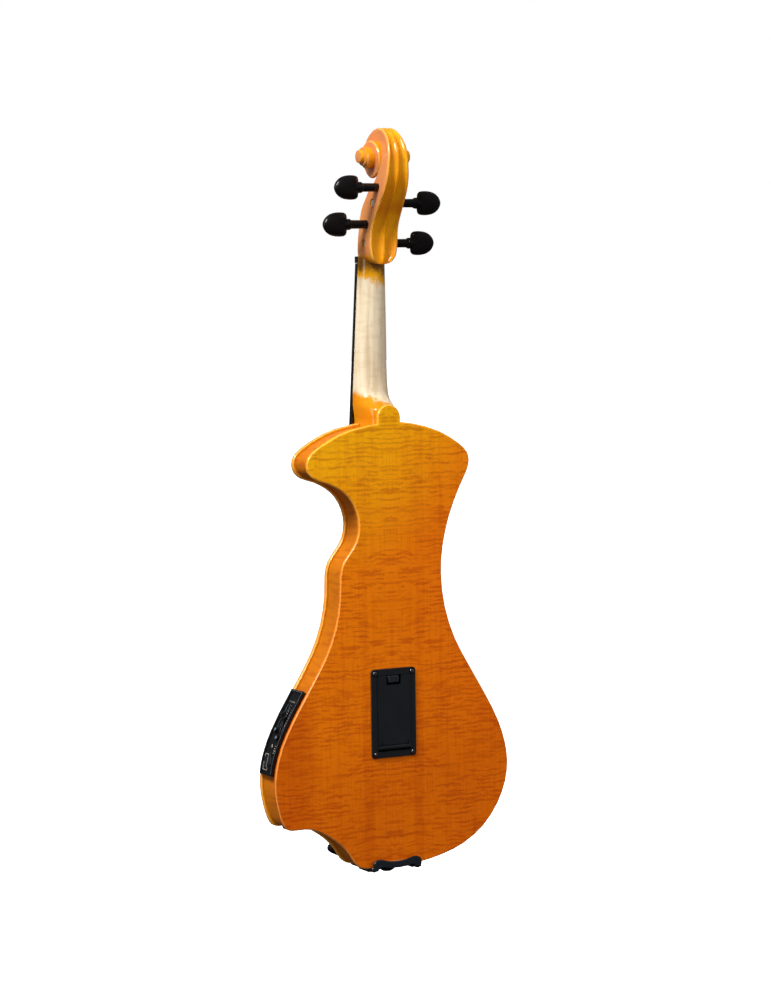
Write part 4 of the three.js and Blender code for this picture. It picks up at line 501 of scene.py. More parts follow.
# Colour, roughness, and size and depth of the grain
plastics = {
    "black_gloss": ((0.006, 0.0045, 0.0045), 0.22, 500, 0.00001),
    "black_matte": ((0.0095, 0.0115, 0.014), 0.42, 2600, 0.00004),
    "lead": ((0.01, 0.01, 0.01), 0.5, 900, 0.00002),
    "window": ((0.012, 0.014, 0.016), 0.1, 300, 0.000005),
    "panel_black": ((0.004, 0.0045, 0.0055), 0.2, 900, 0.00001),
    "polished_latch": ((0.022, 0.026, 0.031), 0.3, 1800, 0.00002),
    "foot_satin": ((0.011, 0.015, 0.02), 0.24, 1800, 0.00002),
    # Light grey for the panel's rim strips: a painted highlight of its edges
    "polished_rim": ((0.075, 0.085, 0.1), 0.3, 900, 0.00001),
    "cell": ((0.03, 0.032, 0.04), 0.3, 300, 0.00001),
}
# Colour and roughness
metals = {
    "black_steel": ((0.09, 0.1, 0.12), 0.2),
    "screw_steel": ((0.3, 0.31, 0.33), 0.24),
    "nickel": ((0.62, 0.61, 0.59), 0.22),
    "string_steel": ((0.5, 0.5, 0.5), 0.3),
}
# Light and dark tone as a screen shows them, size of the grains, roughness and depth
speckles = {
    "inner_wood": ((212, 184, 140), (190, 156, 110), 300, 0.7, 0.0001),
    "bridge_maple": ((206, 164, 108), (176, 130, 80), 700, 0.5, 0.00005),
    "cork": ((176, 130, 84), (96, 60, 34), 900, 0.85, 0.0002),
    "bone": ((206, 200, 186), (178, 168, 150), 900, 0.3, 0.00001),
    "pale_print": ((190, 182, 166), (140, 134, 122), 1500, 0.5, 0.00001),
    # The key tops' light grey is a painted highlight of the buttons
    "grey_key": ((120, 126, 132), (84, 88, 94), 1500, 0.35, 0.00001),
}
for name, values in plastics.items():
    looks[name] = black_plastic(name, *values)
for name, values in metals.items():
    looks[name] = metal(name, *values)
for name, (light, dark, *values) in speckles.items():
    looks[name] = speckled(name, srgb(*light), srgb(*dark), *values)
slots = {entry["node"]: entry["material_slot"] for entry in frame["record"]["subparts"]}


# Fine pieces, in millimetres in the body's frame unless a frame is named

body_length, body_half_width = 356, 105.5
# From the body's edge to the nut, and the fingerboard's underside there
neck_stop, board_under = 125.6, -28.2
nut_height = body_length + neck_stop


def spline(points, steps, closed=False):
    """A smooth curve through points, with equally many steps between each two."""
    points = [np.asarray(point, float) for point in points]
    if closed:
        ends = [points[-1], *points, points[0], points[1]]
    else:
        ends = [2 * points[0] - points[1], *points, 2 * points[-1] - points[-2]]
    made = []
    for four in zip(ends, ends[1:], ends[2:], ends[3:]):
        a, b, c, d = four
        gaps = [max(np.linalg.norm(q - p), 1e-6) ** 0.5 for p, q in zip(four, four[1:])]
        knots = np.cumsum([0, *gaps])
        for t in np.linspace(knots[1], knots[2], steps, endpoint=False):

            def blend(p, q, i, j):
                return (p * (knots[j] - t) + q * (t - knots[i])) / (knots[j] - knots[i])

            ab, bc, cd = blend(a, b, 0, 1), blend(b, c, 1, 2), blend(c, d, 2, 3)
            made.append(blend(blend(ab, bc, 0, 2), blend(bc, cd, 1, 3), 1, 2))
    return np.array(made if closed else [*made, points[-1]])


class Shape:
    """Closed skins gathered for one piece."""

    def __init__(self, frame_matrix=None):
        self.frame = frame_matrix or Matrix.Translation(body_origin)
        self.bm = bmesh.new()
        # How far each point lies on a bevelled edge, where the head's material paints a highlight
        self.edge = self.bm.verts.layers.float.new("edge")

    def points(self, row):
        return [self.bm.verts.new(self.frame @ (Vector(point) * mm)) for point in row]

    def loft(self, rings, capped=True, edges=()):
        rows = [self.points(ring) for ring in rings]
        for row in rows:
            for vertex, share in zip(row, edges):
                vertex[self.edge] = share
        for low, high in zip(rows, rows[1:]):
            for i in range(len(low)):
                j = (i + 1) % len(low)
                self.bm.faces.new((low[i], low[j], high[j], high[i]))
        if capped:
            self.bm.faces.new(rows[0])
            self.bm.faces.new(rows[-1])
        return self

    def lathe(self, profile, turn, sides=32):
        """A profile of radii and heights turned round an axis; turn places a point."""
        angles = np.linspace(0, 2 * math.pi, sides, endpoint=False)
        rings = [
            [turn(radius * math.cos(a), radius * math.sin(a), height) for a in angles]
            for radius, height in profile
        ]
        return self.loft(rings)

    def made(self, name, look, angle=35):
        """The finished object; edges sharper than the angle stay sharp."""
        bmesh.ops.remove_doubles(self.bm, verts=self.bm.verts, dist=1e-7)
        bmesh.ops.recalc_face_normals(self.bm, faces=self.bm.faces)
        mesh = bpy.data.meshes.new(name)
        self.bm.to_mesh(mesh)
        self.bm.free()
        mesh.shade_smooth()
        mesh.set_sharp_from_angle(angle=math.radians(angle))
        piece = bpy.data.objects.new(name, mesh)
        scene.collection.objects.link(piece)
        mesh.materials.append(looks[look])
        return piece


def along_x(a, b, along):
    """Places a turned point whose axis lies along X."""
    return along, a, b


def walls(outline, *levels):
    """An outline in X and Z at each of some places along Y."""
    return [[(x, y, z) for x, z in outline] for y in levels]


def place_piece(piece, kin, body, *replaced):
    """Gives a piece its body and hides the nodes it stands for; kin, the kindred node, is not used.
    """
    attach(piece, body)
    if replaced:
        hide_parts(*replaced)


def carve(piece, cutters, angle=35):
    """Cuts pieces out of another for good."""
    for cutter in cutters:
        step = piece.modifiers.new("cut", "BOOLEAN")
        step.operation, step.solver, step.object = "DIFFERENCE", "EXACT", cutter
    bpy.context.view_layer.update()
    evaluated = piece.evaluated_get(bpy.context.evaluated_depsgraph_get())
    cut = bpy.data.meshes.new_from_object(evaluated)
    piece.modifiers.clear()
    piece.data = cut
    cut.shade_smooth()
    cut.set_sharp_from_angle(angle=math.radians(angle))
    for cutter in cutters:
        bpy.data.objects.remove(cutter)


# Neck frame: Y to the back from the fingerboard's underside, Z up from the nut

neck_tilt = math.radians(2.6)
nut_place = Matrix.Translation(at(0, board_under, nut_height))
neck_frame = nut_place @ Matrix.Rotation(-neck_tilt, 4, "X")

# Scroll and pegbox

head_length, head_half_width, head_start = 104, 12.6, 4.4
# Back edge Y and Z, front edge Y and Z, half width, as shares from the chin up
pegbox_shares = [
    (0.2, -0.042, 0.09, -0.042, 0.2),
    (0.213, -0.033, 0.05, -0.033, 0.47),
    (0.223, -0.006, 0.006, -0.006, 0.74),
    (0.228, 0.038, 0.006, 0.038, 0.91),
    (0.226, 0.11, 0.025, 0.11, 1),
    (0.23, 0.193, 0.036, 0.202, 0.99),
    (0.252, 0.27, 0.046, 0.288, 0.97),
    (0.298, 0.351, 0.077, 0.38, 0.945),
    (0.352, 0.433, 0.129, 0.457, 0.905),
    (0.398, 0.51, 0.176, 0.519, 0.87),
    (0.431, 0.587, 0.248, 0.582, 0.825),
    (0.448, 0.659, 0.305, 0.66, 0.78),
]
# The stations between which the pegbox is hollow, and its walls' thickness
hollow_stations = slice(20, 61, 2)
back_wall, side_wall = 4.6, 4.7
# Half width of the scroll at each quarter turn, as shares of the head's
volute_width_shares = [0.72, 0.46, 0.6, 0.76, 0.9, 1.02, 1.16, 1.3, 1.42]
spiral_reach, spiral_decay = 26.6, 0.6
coil_overlap, crown_drop = 1.2, 0.54
# Depth of the flutes down the back, and the turn where they run out
flute_share, flute_end, flute_fade = 0.235, 0.98, 0.2
# How much deeper they are at the chin, and where, in shares of the head's length
chin_flute_share, chin_place_share, chin_spread_share = 0.1, 0.02, 0.16
# The turn where the pegbox's own piece ends, and those where the coils start and end
pegbox_end, coil_turns = 0.56, ((0.5, 1.06), (1, 1.55), (1.5, 2.04))
# The eye's two steps: the turn whose radius it has, reach to each side and rounding
eye_steps = ((2.15, 18.6, 0.5), (2.75, 22.05, 0.45))
# The bevel's width, and the angle in degrees that stays sharp
head_bevel, head_crease = 1.2, 28


def on_head(y, z):
    """A place in the neck frame, given in shares of the head's length above its chin."""
    return np.array([y * head_length, head_start + z * head_length])


eye = on_head(0.1935, 0.771)


def volute_radius(turn):
    return spiral_reach * math.exp(-spiral_decay * turn)


def head_ring(back, front, half_width, flute):
    """A section across the head: two hollow flutes with a ridge between, and bevelled edges."""
    depth = np.linalg.norm(front - back)
    inward = (front - back) / depth
    bevel = min(head_bevel, half_width * 0.3, depth * 0.3)
    hollow = flute * half_width
    land = half_width - bevel
    half = [(half_width, depth * share) for share in (1, 0.8, 0.6, 0.4, 0.25)]
    half += [(half_width, bevel * 1.15), (half_width - bevel * 0.12, bevel * 0.8)]
    half += [(land + bevel * 0.15, bevel * 0.12), (land - bevel * 0.1, 0)]
    outer, inner = land - bevel * 0.35, half_width * 0.05
    for u in np.linspace(0, 1, 13):
        x = outer + (inner - outer) * u
        half.append((x, hollow * (1 - abs(2 * u - 1) ** 2.3)))
    mirrored = [(-x, inset) for x, inset in reversed(half)]
    section = [*half, (0, 0), *mirrored]
    return [(x, *(back + inward * inset)) for x, inset in section]


# Which points of a section lie along its bevelled edges
ring_edges = [0] * 5 + [0.1, 0.8, 1, 0.2] + [0] * 27 + [0.2, 1, 0.8, 0.1] + [0] * 5


def volute_rings(start, end, steps):
    """Sections along the spiral, from one turn to another."""
    quarters = spline([(share,) for share in volute_width_shares], 12)[:, 0]
    last = len(volute_width_shares) - 1
    rings = []
    for turn in np.linspace(start, end, steps + 1):
        angle = turn * 2 * math.pi
        ray = np.array([math.cos(angle), math.sin(angle)])
        width = np.interp(min(turn * 4, last), np.linspace(0, last, len(quarters)), quarters)
        # The crown is a little flatter than the spiral
        drop = crown_drop * max(math.sin(angle), 0) ** 2 if turn < 0.5 else 0
        back = eye + ray * (volute_radius(turn) - drop)
        front = eye + ray * (volute_radius(turn + 1) - coil_overlap)
        flute = flute_share * min(max((flute_end - turn) / flute_fade, 0), 1)
        rings.append(head_ring(back, front, width * head_half_width, flute))
    return rings


def pegbox():
    """The head from its chin over the crown, hollow in front, with the pegs' holes."""
    stations = spline(pegbox_shares, 6)
    lower = []
    for back_y, back_z, front_y, front_z, width in stations:
        chin = max(1 - abs(back_z - chin_place_share) / chin_spread_share, 0)
        back, front = on_head(back_y, back_z), on_head(front_y, front_z)
        flute = flute_share + chin_flute_share * chin
        lower.append(head_ring(back, front, width * head_half_width, flute))
    solid = Shape(neck_frame)
    solid.loft([*lower[:-1], *volute_rings(0, pegbox_end, 34)], edges=ring_edges)
    piece = solid.made("pegbox", "head_maple", head_crease)
    rings = []
    for back_y, back_z, front_y, front_z, width in stations[hollow_stations]:
        back, front = on_head(back_y, back_z), on_head(front_y, front_z)
        inward = (front - back) / np.linalg.norm(front - back)
        deep, out = back + inward * back_wall, front + inward * head_half_width
        inner = width * head_half_width - side_wall
        rings.append([(inner, *deep), (-inner, *deep), (-inner, *out), (inner, *out)])
    cutters = [Shape(neck_frame).loft(rings).made("hollow", "head_maple")]
    for _, y, z, _ in peg_places.values():
        hole = Shape(neck_frame @ Matrix.Translation(Vector((0, y, z)) * mm))
        hole.lathe([(peg_hole_radius, -20), (peg_hole_radius, 20)], along_x, 24)
        cutters.append(hole.made("hole", "head_maple"))
    carve(piece, cutters, head_crease)
    place_piece(piece, "neck", "body", "neck")


def volute():
    """The coils that stand out to both sides, ending in a small stepped eye."""
    coils = Shape(neck_frame)
    for start, end in coil_turns:
        coils.loft(volute_rings(start, end, 30), edges=ring_edges)
    for turn, reach, rounding in eye_steps:
        radius = volute_radius(turn)
        profile = [(radius * 0.9, -reach), (radius - rounding * 0.3, -reach + rounding * 0.3)]
        profile += [(radius, -reach + rounding)]
        profile += [(r, -along) for r, along in reversed(profile)]
        coils.lathe(profile, lambda a, b, along: (along, eye[0] + a, eye[1] + b), 40)
    place_piece(coils.made("volute", "head_maple", head_crease), "neck", "body", "neck")


# Neck and heel: share of the neck's stop, depth share, squareness and width share
heel_shares = [
    (-0.0695, 1, 3.4, 0.84),
    (0.012, 1, 3.2, 0.84),
    (0.05, 1, 3, 0.9),
    (0.085, 0.97, 2.7, 0.95),
    (0.112, 0.82, 2.5, 0.97),
    (0.135, 0.66, 2.35, 0.98),
    (0.165, 0.545, 2.2, 0.99),
    (0.21, 0.475, 2.1, 1),
    (0.3, 0.445, 2, 1),
]
shaft_shares = [(0.6, 1.03, 2, 1), (1, 1, 2, 1), (1.045, 0.99, 2, 1)]
# The heel's back under the button, and the neck's depth at the nut
heel_back, neck_depth = -3.9, 12.4
# Half the nut's width, and how much wider half the board grows over its length
nut_half_width, board_spread, board_length = 11.2, 9.6, 266


def neck_front(height):
    """Y of the fingerboard's underside at a height."""
    return board_under - (nut_height - height) * math.tan(neck_tilt)


def neck():
    stations = []
    for share, depth, square, width in heel_shares:
        height = body_length + share * neck_stop
        stations.append((height, (heel_back - neck_front(height)) * depth, square, width))
    for share, depth, square, width in shaft_shares:
        stations.append((body_length + share * neck_stop, neck_depth * depth, square, width))
    rings = []
    for height, depth, square, width in spline(stations, 10):
        spread = board_spread * (nut_height - height) / board_length
        half = (nut_half_width + spread) * width
        ring = []
        for angle in np.linspace(0, math.pi, 41):
            side = math.cos(angle)
            x = math.copysign(abs(side) ** (2 / square), side) * half
            y = neck_front(height) + depth * max(math.sin(angle), 0) ** (2 / square)
            ring.append((x, y, height))
        rings.append(ring)
    piece = Shape().loft(rings).made("neck_shaft", "neck_maple", 40)
    place_piece(piece, "neck", "body", "neck")


# Pegs: side of the head, Y and Z of the axis in the neck frame, reach of the peg's head
peg_places = {
    f"peg_{string}": (side, *on_head(y, z), reach)
    for string, side, y, z, reach in (
        ("g", -1, 0.123, 0.114, 50.4),
        ("d", -1, 0.237, 0.421, 49.6),
        ("a", 1, 0.302, 0.54, 48.6),
        ("e", 1, 0.158, 0.26, 50.8),
    )
}
peg_radius, peg_hole_radius, peg_tip = 3.4, 3.42, -11.15
peg_head_length, peg_head_half_height, peg_head_half_thickness = 21, 9.5, 4.15
# The tip's rounding: radius, and how far up from the tip
peg_tip_profile = [(0.01, 0), (2.2, 0), (2.65, 0.25), (2.95, 0.8)]
peg_shank = [(3.12, 0), (3.34, 12.6)]
# The collar, in shares of the peg's radius
peg_collar_shares = [
    (1.02, -0.95), (1.18, -0.85), (1.28, -0.66), (1.3, -0.4),
    (1.27, -0.12), (1.16, 0.06), (1.04, 0.3), (1.0, 1),
]
# The bone dot let into the tip
peg_end_profile = [(0.01, -0.03), (2.5, -0.03), (2.7, 0.2), (0.01, 0.2)]
# Half the head's outline, along it and across it
peg_head_shares = [
    (0, 0.5), (0.03, 0.8), (0.1, 0.94), (0.25, 1), (0.45, 0.99),
    (0.65, 0.9), (0.82, 0.7), (0.94, 0.4), (1, 0),
]
# How far out on the head's face, and how thick it is there
peg_face_shares = [
    (0.1, 1), (0.25, 0.985), (0.4, 0.95), (0.55, 0.89), (0.68, 0.8),
    (0.79, 0.68), (0.88, 0.54), (0.94, 0.4), (0.98, 0.24), (1, 0.1),
]


def pegs():
    for peg, (side, y, z, reach) in peg_places.items():
        peg_frame = neck_frame @ Matrix.Translation(Vector((0, y, z)) * mm)
        if side < 0:
            peg_frame = peg_frame @ Matrix.Rotation(math.pi, 4, "Z")
        shape = Shape(peg_frame)
        inner = reach - peg_head_length
        profile = [(radius, peg_tip + rise) for radius, rise in peg_tip_profile]
        profile += [*peg_shank, (peg_radius, inner - 2 * peg_radius)]
        profile += [(peg_radius * r, inner + peg_radius * along) for r, along in peg_collar_shares]
        shape.lathe([*profile, (0.01, inner + peg_radius)], along_x, 32)
        half = [
            (along * peg_head_length, height * peg_head_half_height)
            for along, height in peg_head_shares
        ]
        edge = spline([*half, *((x, -height) for x, height in reversed(half[:-1]))], 5)
        middle = np.array([peg_head_length * 0.5, 0])
        faces = [*peg_face_shares, *((s, -t) for s, t in reversed(peg_face_shares))]
        rings = []
        for share, thick in faces:
            ring = middle + (edge - middle) * share
            depth = peg_head_half_thickness * thick
            rings.append([(inner + along, depth, across) for along, across in ring])
        shape.loft(rings)
        piece = shape.made(f"{peg}_turned", "black_gloss", 50)
        place_piece(piece, peg, peg, peg)
        cap = Shape(peg_frame)
        profile = [(radius, peg_tip + rise) for radius, rise in peg_end_profile]
        cap = cap.lathe(profile, along_x, 28).made(f"{peg}_end", "bone", 30)
        place_piece(cap, peg, peg)


# Preamp panel: printed marks, rims and key tops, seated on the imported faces. Places on it are
# shares of its width, from the front, and of its length, from the top


def skin(*names):
    """The nodes' surfaces, for seating pieces on."""
    corners, faces = [], []
    for name in names:
        mesh = nodes[name].data
        start = len(corners)
        corners += [vertex.co.copy() for vertex in mesh.vertices]
        faces += [[start + i for i in face.vertices] for face in mesh.polygons]
    return BVHTree.FromPolygons(corners, faces)


panel_low, panel_high = (Vector(corner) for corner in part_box("preamp_panel"))
panel_frame = Matrix.Identity(4)
panel_face = skin("preamp_panel", "display_window")
# X in metres of a place well outside the panel
outside = 0.2
# Near and far side, top and foot
mark_shares = (0.16, 0.5, 0.745, 0.93)
rim_shares = (0.045, 0.955, 0.012, 0.988)
slider_shares = ((0.386, 0.3), (0.69, 0.345))
slot_width_share, slot_length_share = 0.085, 0.13
button_shares = (("tuner_button", 0.25, 0.485), ("phase_button", 0.85, 0.56))
# Rows of dashes: start, end, step to the next, how many, and width and rise in millimetres
dash_shares = (
    ((0.3, 0.128), (0.3, 0.143), (0.1, 0), 5, 0.5, 0.06),
    ((0.52, 0.18), (0.58, 0.18), (0, 0.03), 6, 0.4, 0.06),
    ((0.8, 0.25), (0.86, 0.25), (0, 0.03), 6, 0.4, 0.06),
    ((0.7, 0.64), (0.82, 0.645), (0, 0.026), 4, 0.5, 0.06),
    ((0.46, 0.635), (0.52, 0.665), (0, 0), 1, 1.1, 0.08),
)
key_radius = 1.4


def on_panel(surface, across, down):
    """Where a place on the panel meets a surface, and its outward side."""
    y = panel_low.y + across * (panel_high.y - panel_low.y)
    z = panel_high.z - down * (panel_high.z - panel_low.z)
    place, facing, _, _ = surface.ray_cast(Vector((outside, y, z)), Vector((-1, 0, 0)))
    return np.array(place) / mm, np.array(facing)


def strip(shape, start, end, width, rise, steps):
    """A raised line between two places on the panel."""
    marks = [on_panel(panel_face, *mark) for mark in np.linspace(start, end, steps + 1)]
    rings = []
    for i, (place, facing) in enumerate(marks):
        along = marks[min(i + 1, steps)][0] - marks[max(i - 1, 0)][0]
        aside = np.cross(facing, along)
        aside *= width / 2 / np.linalg.norm(aside)
        foot, top = place - facing * 0.1, place + facing * rise
        rings.append([foot - aside, foot + aside, top + aside * 0.7, top - aside * 0.7])
    shape.loft(rings)


def frame_round(shape, sides, overhang, width, rise, steps):
    """Four strips round a rectangle of the panel."""
    near, far, top, foot = sides
    for across in (near, far):
        strip(shape, (across, top), (across, foot), width, rise, steps)
    for down in (top, foot):
        start, end = (near - overhang, down), (far + overhang, down)
        strip(shape, start, end, width, rise, 8)


def panel_marks():
    """Plain dashes and a frame in place of the real panel's print."""
    marks = Shape(panel_frame)
    for start, end, step, count, width, rise in dash_shares:
        for i in range(count):
            shift = np.array(step) * i
            strip(marks, start + shift, end + shift, width, rise, 1)
    frame_round(marks, mark_shares, 0.01, 0.6, 0.1, 14)
    place_piece(marks.made("panel_print", "pale_print"), "preamp_panel", "body")


def panel_rims():
    """Raised strips on the panel's rim and beside the sliders' slots, light grey as a painted
    highlight of those edges.
    """
    rims = Shape(panel_frame)
    frame_round(rims, rim_shares, 0, 0.7, 0.12, 40)
    for across, down in slider_shares:
        for side in (-slot_width_share, slot_width_share):
            start = (across + side, down - slot_length_share)
            end = (across + side, down + slot_length_share)
            strip(rims, start, end, 0.45, 0.14, 12)
    place_piece(rims.made("panel_rims", "polished_rim"), "preamp_panel", "body")


def key_tops():
    """Grey tops on the two buttons, square to the panel there; their light grey paints the buttons'
    highlights.
    """
    panel = skin("preamp_panel")
    profile = [(0.01, -0.2), (key_radius, -0.2), (key_radius, 0.1)]
    profile += [(key_radius * 0.85, 0.22), (0.01, 0.25)]
    for name, across, down in button_shares:
        facing = Vector(on_panel(panel, across, down)[1])
        corners = [vertex.co for vertex in nodes[name].data.vertices]
        furthest = max(corner.dot(facing) for corner in corners)
        rim = [corner for corner in corners if furthest - corner.dot(facing) < 0.05 * mm]
        place = Matrix.Translation(sum(rim, Vector()) / len(rim))
        top = Shape(place @ facing.to_track_quat("Z", "Y").to_matrix().to_4x4())
        top.lathe(profile, lambda a, b, along: (a, b, along), 28)
        place_piece(top.made(f"{name}_top", "grey_key"), name, name)


# Battery cover: door, latch and screws


def box(shape, low, high):
    """A block between two corners."""
    (x0, y0, z0), (x1, y1, z1) = low, high
    shape.loft(walls([(x0, z0), (x1, z0), (x1, z1), (x0, z1)], y0, y1))


def rounded(width, low, high, corner, inset=0.0):
    """The outline of a rounded rectangle, X and Z, centred on X."""
    half, corner = width / 2 - inset, max(corner - inset, 0.05)
    low, high = low + inset, high - inset
    made = []
    for quarter, (x, z) in enumerate(((half, high), (-half, high), (-half, low), (half, low))):
        cx = x - math.copysign(corner, x)
        cz = z - corner if quarter < 2 else z + corner
        for angle in np.linspace(quarter, quarter + 1, 7) * math.pi / 2:
            made.append((cx + corner * math.cos(angle), cz + corner * math.sin(angle)))
    return made


def local_box(name):
    """A node's corners in the body's frame, in millimetres."""
    low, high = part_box(name)
    return [(np.array(corner) - np.array(body_origin)) / mm for corner in (low, high)]


door_low, door_high = local_box("battery_door")
door_width, door_top = door_high[0] - door_low[0], door_high[2]
# The door's plate lies below its raised field, and turns on a barrel at its lower edge
field_rise, plate_thickness = 0.6, 1.6
door_face = door_high[1] - field_rise
hinge_height, barrel_radius = door_low[2] + 2.3, 1.75
plate_foot, field_foot = hinge_height + 2.2, hinge_height + 4.6
# Above the field lies a well, which takes the latch
field_top, field_margin = door_top - 8.6, 3
well_foot, well_width = door_top - 7.6, 13.4
latch_width, latch_face = 9.4, door_face - 0.5
latch_foot, latch_top = door_top - 5.6, door_top - 0.5
rib_spacing = 1.55
screw_radius, screw_head_radius, screw_head_height, screw_rim = 0.95, 1.7, 1.0, 0.25
cross_half_length, cross_half_width = 1.0, 0.17


def battery_door():
    door = Shape()
    plate = rounded(door_width, plate_foot, door_top, 0.6)
    door.loft(walls(plate, door_face - plate_thickness, door_face))
    rings = []
    for inset, rise in ((0, -0.3), (0, 0.2), (0.12, 0.42), (0.4, field_rise)):
        field = rounded(door_width - 2 * field_margin, field_foot, field_top, 1.5, inset)
        rings += walls(field, door_face + rise)
    door.loft(rings)

    def round_hinge(a, b, along):
        return along, door_face - 0.9 + a, hinge_height + b

    barrel = [(barrel_radius, -door_width / 2), (barrel_radius, door_width / 2)]
    door.lathe(barrel, round_hinge, 28)
    half = door_width / 2 - 0.4
    low = (-half, door_face - plate_thickness, hinge_height)
    box(door, low, (half, door_face - 0.6, hinge_height + 2.6))
    well = rounded(well_width, well_foot, door_top + 4, 1.4)
    well = Shape().loft(walls(well, door_face - 3, door_face + 3)).made("well", "black_matte")
    slits = Shape()
    for side in (-1, 1):
        for share, reach, width in ((0.42, 5.6, 0.9), (0.36, 3.9, 0.6)):
            x = side * door_width * share
            low = (x - width / 2, door_face - 0.5, hinge_height + 1.0)
            box(slits, low, (x + width / 2, door_face + 3, hinge_height + reach))
    piece = door.made("battery_door_fine", "black_matte")
    carve(piece, [well, slits.made("slits", "black_matte")])
    place_piece(piece, "battery_door", "battery_door", "battery_door")


def door_latch():
    """A ribbed tab in the door's well, with the tongue under the frame's edge."""
    low, high = local_box("door_latch")
    latch = Shape()
    rings = []
    for inset, y in ((0, latch_face - 1.0), (0, latch_face - 0.15), (0.15, latch_face)):
        rings += walls(rounded(latch_width, latch_foot, latch_top, 0.9, inset), y)
    latch.loft(rings)
    rib = [(-3.3, -0.28), (3.3, -0.28), (3.3, 0.27), (-3.3, 0.27)]
    for row in (-rib_spacing, 0, rib_spacing):
        centre = (latch_foot + latch_top) / 2 + row
        foot = [(x, latch_face - 0.1, centre + z) for x, z in rib]
        top = [(x * 0.97, latch_face + 0.45, centre + z * 0.6) for x, z in rib]
        latch.loft([foot, top])
    box(latch, (-3.5, low[1], door_top - 3), (3.5, low[1] + 1.4, high[2]))
    box(latch, (-1.5, low[1], door_top - 4.5), (1.5, latch_face - 0.9, door_top - 2.9))
    piece = latch.made("door_latch_fine", "polished_latch")
    place_piece(piece, "door_latch", "door_latch", "door_latch")


def cover_screw(name):
    """A cross-slotted screw, and a raised ring round its head whose darker gloss black paints the
    countersink's shadow.
    """
    low, high = local_box(name)
    x, z = (low[0] + high[0]) / 2, (low[2] + high[2]) / 2
    seat = high[1] - screw_head_height
    rim = seat + screw_rim

    def turn(a, b, along):
        return x + a, along, z + b

    dome = [
        (screw_head_radius * math.cos(a), rim + (high[1] - rim) * math.sin(a))
        for a in np.linspace(0, 1.45, 9)
    ]
    shank = [(0.01, low[1]), (screw_radius, low[1] + 1), (screw_radius, seat)]
    head = [(screw_head_radius, seat), *dome, (0.01, high[1])]
    piece = Shape().lathe([*shank, *head], turn).made(f"{name}_fine", "screw_steel")
    cutters = []
    cross = (cross_half_length, cross_half_width)
    for across, up in (cross, cross[::-1]):
        slot = Shape()
        box(slot, (x - across, high[1] - 0.5, z - up), (x + across, high[1] + 1, z + up))
        cutters.append(slot.made("slot", "screw_steel"))
    carve(piece, cutters)
    place_piece(piece, name, "body", name)
    # Painted shadow: a low raised ring of darker gloss black stands for the countersink's shadow
    # round each screw
    ring = [(1.9, -0.2), (1.9, 0.1), (2.0, 0.16), (2.2, 0.16), (2.4, 0), (2.4, -0.2)]
    rings = [
        [turn(r * math.cos(a), r * math.sin(a), seat + rise) for r, rise in ring]
        for a in np.linspace(0, 2 * math.pi, 33)[:-1]
    ]
    shadow_ring = Shape().loft([*rings, rings[0]], capped=False)
    place_piece(shadow_ring.made(f"{name}_boss", "black_gloss"), "battery_box", "body")


# Chin rest: its edge across and up, as shares of half the body's width

chin_rest_shares = [
    (0.3, 0.05), (0.345, 0.085), (0.338, 0.122), (0.27, 0.152), (0.12, 0.155), (-0.02, 0.16),
    (-0.14, 0.26), (-0.24, 0.42), (-0.4, 0.53), (-0.58, 0.52), (-0.7, 0.41), (-0.73, 0.25),
    (-0.66, 0.1), (-0.5, 0.005), (-0.25, -0.015), (0, -0.015), (0.2, 0.015),
]
# Its rounding: how far in from the edge, and how far out from its underside
chin_rest_levels = [
    (2.0, 0), (0.8, -0.35), (0.2, -1.1), (0, -2.2), (0, -6.2),
    (0.25, -7.3), (0.8, -8.2), (1.6, -8.8), (2.6, -9),
]
chin_rest_under, chin_rest_top = -41.5, -50.5
# The cup: half its length, width and depth, its middle in X, Y and Z, and its slant
cup_radii = (38.0, 28.5, 5.94)
cup_middle = (-42.2, chin_rest_top - 1, 26.9)
cup_slant = math.radians(24)
# The feet's middle and width; they stand on the corks
chin_rest_feet = ((27.0, 8), (-38.0, 26))
foot_half_height, foot_corner, foot_middle, cork_top = 4.5, 3.6, 9, -31.8


def chin_rest_cup():
    """An ellipsoid that hollows the rest's face."""
    long, wide, deep = cup_radii
    poles = math.pi / 2 - 0.02
    rings = []
    for tall in np.linspace(-poles, poles, 33):
        ring = []
        for angle in np.linspace(0, 2 * math.pi, 65)[:-1]:
            a = long * math.cos(tall) * math.cos(angle)
            b = wide * math.cos(tall) * math.sin(angle)
            x = a * math.cos(cup_slant) + b * math.sin(cup_slant) + cup_middle[0]
            z = -a * math.sin(cup_slant) + b * math.cos(cup_slant) + cup_middle[2]
            ring.append((x, cup_middle[1] + deep * math.sin(tall), z))
        rings.append(ring)
    return Shape().loft(rings).made("cup", "black_gloss")


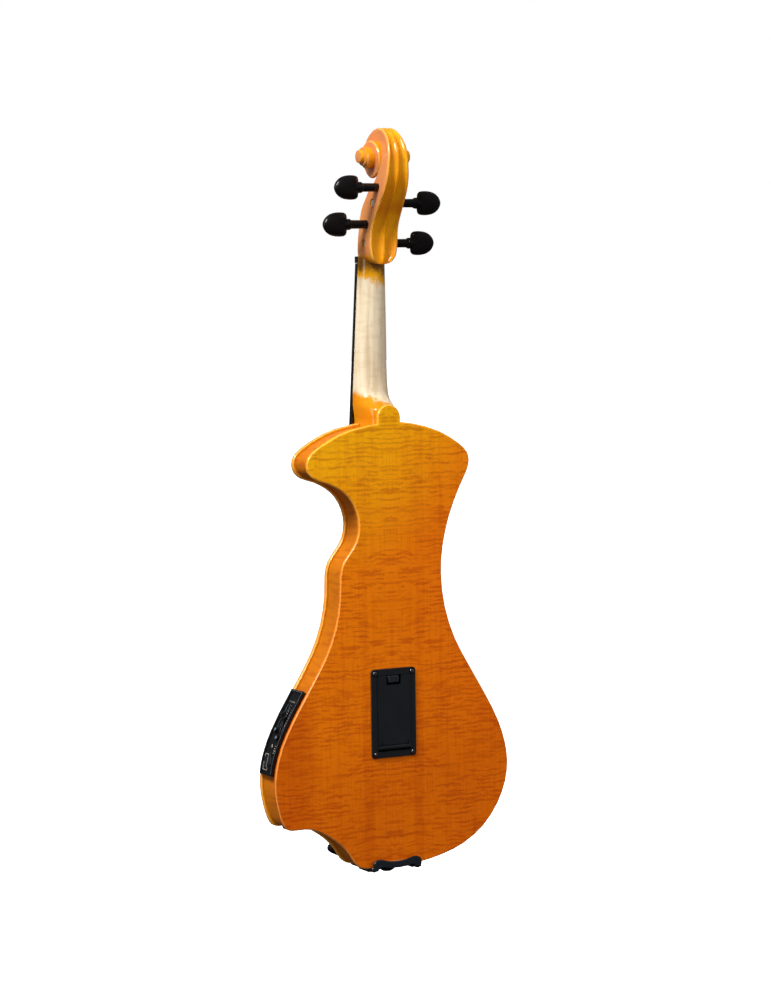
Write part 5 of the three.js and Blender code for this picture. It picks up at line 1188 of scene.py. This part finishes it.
def chin_rest():
    outline = [(x * body_half_width, z * body_half_width) for x, z in chin_rest_shares]
    edge = spline(outline, 8, closed=True)
    along = np.roll(edge, -1, axis=0) - np.roll(edge, 1, axis=0)
    along /= np.linalg.norm(along, axis=1)[:, None]
    inward = np.column_stack([-along[:, 1], along[:, 0]])
    rings = []
    for inset, rise in chin_rest_levels:
        rings += walls(edge + inward * inset, chin_rest_under + rise)
    plate = Shape().loft(rings).made("chin_rest_fine", "black_gloss", 40)
    carve(plate, [chin_rest_cup()], 40)
    place_piece(plate, "chin_rest", "body", "chin_rest")
    feet = Shape()
    for middle, width in chin_rest_feet:
        foot = rounded(width, -foot_half_height, foot_half_height, foot_corner)
        foot = [(x + middle, z + foot_middle) for x, z in foot]
        feet.loft(walls(foot, chin_rest_under - 1, cork_top))
    place_piece(feet.made("chin_rest_feet", "black_gloss"), "chin_rest", "body")


pegbox()
volute()
neck()
pegs()
panel_marks()
panel_rims()
key_tops()
battery_door()
door_latch()
for screw in [name for name in nodes if name.startswith("cover_screw")]:
    cover_screw(screw)
chin_rest()


# The remaining nodes keep their shape, with their edges softened

fine_edges = {
    "back_plate": 0.26, "top_plate": 0.3, "tailpiece": 0.35, "fingerboard": 0.5,
    "clamp_foot": 0.3, "clamp_upper_bracket": 0.3, "battery": 0.3, "saddle": 0.4, "nut": 0.4,
}
other_edges = 0.15
special = {"preamp_panel": "panel_black", "clamp_foot": "foot_satin"}


def soften(name, node):
    """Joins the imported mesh's flat parts, then rounds its edges finely and shades them clean."""

    def step(kind, **settings):
        made = node.modifiers.new(kind.lower(), kind)
        for key, value in settings.items():
            setattr(made, key, value)

    width, sharp = fine_edges.get(name, other_edges) * mm, math.radians(35)
    step("WELD", merge_threshold=0.00001)
    step("DECIMATE", decimate_type="DISSOLVE", angle_limit=math.radians(1.5))
    step("BEVEL", width=width, segments=3, limit_method="ANGLE", angle_limit=sharp)
    node.data.shade_smooth()
    step("EDGE_SPLIT", split_angle=math.radians(32))
    step("WEIGHTED_NORMAL", keep_sharp=True)


for name, node in nodes.items():
    node.data.materials.clear()
    node.data.materials.append(looks[special.get(name, slots[name])])
    soften(name, node)
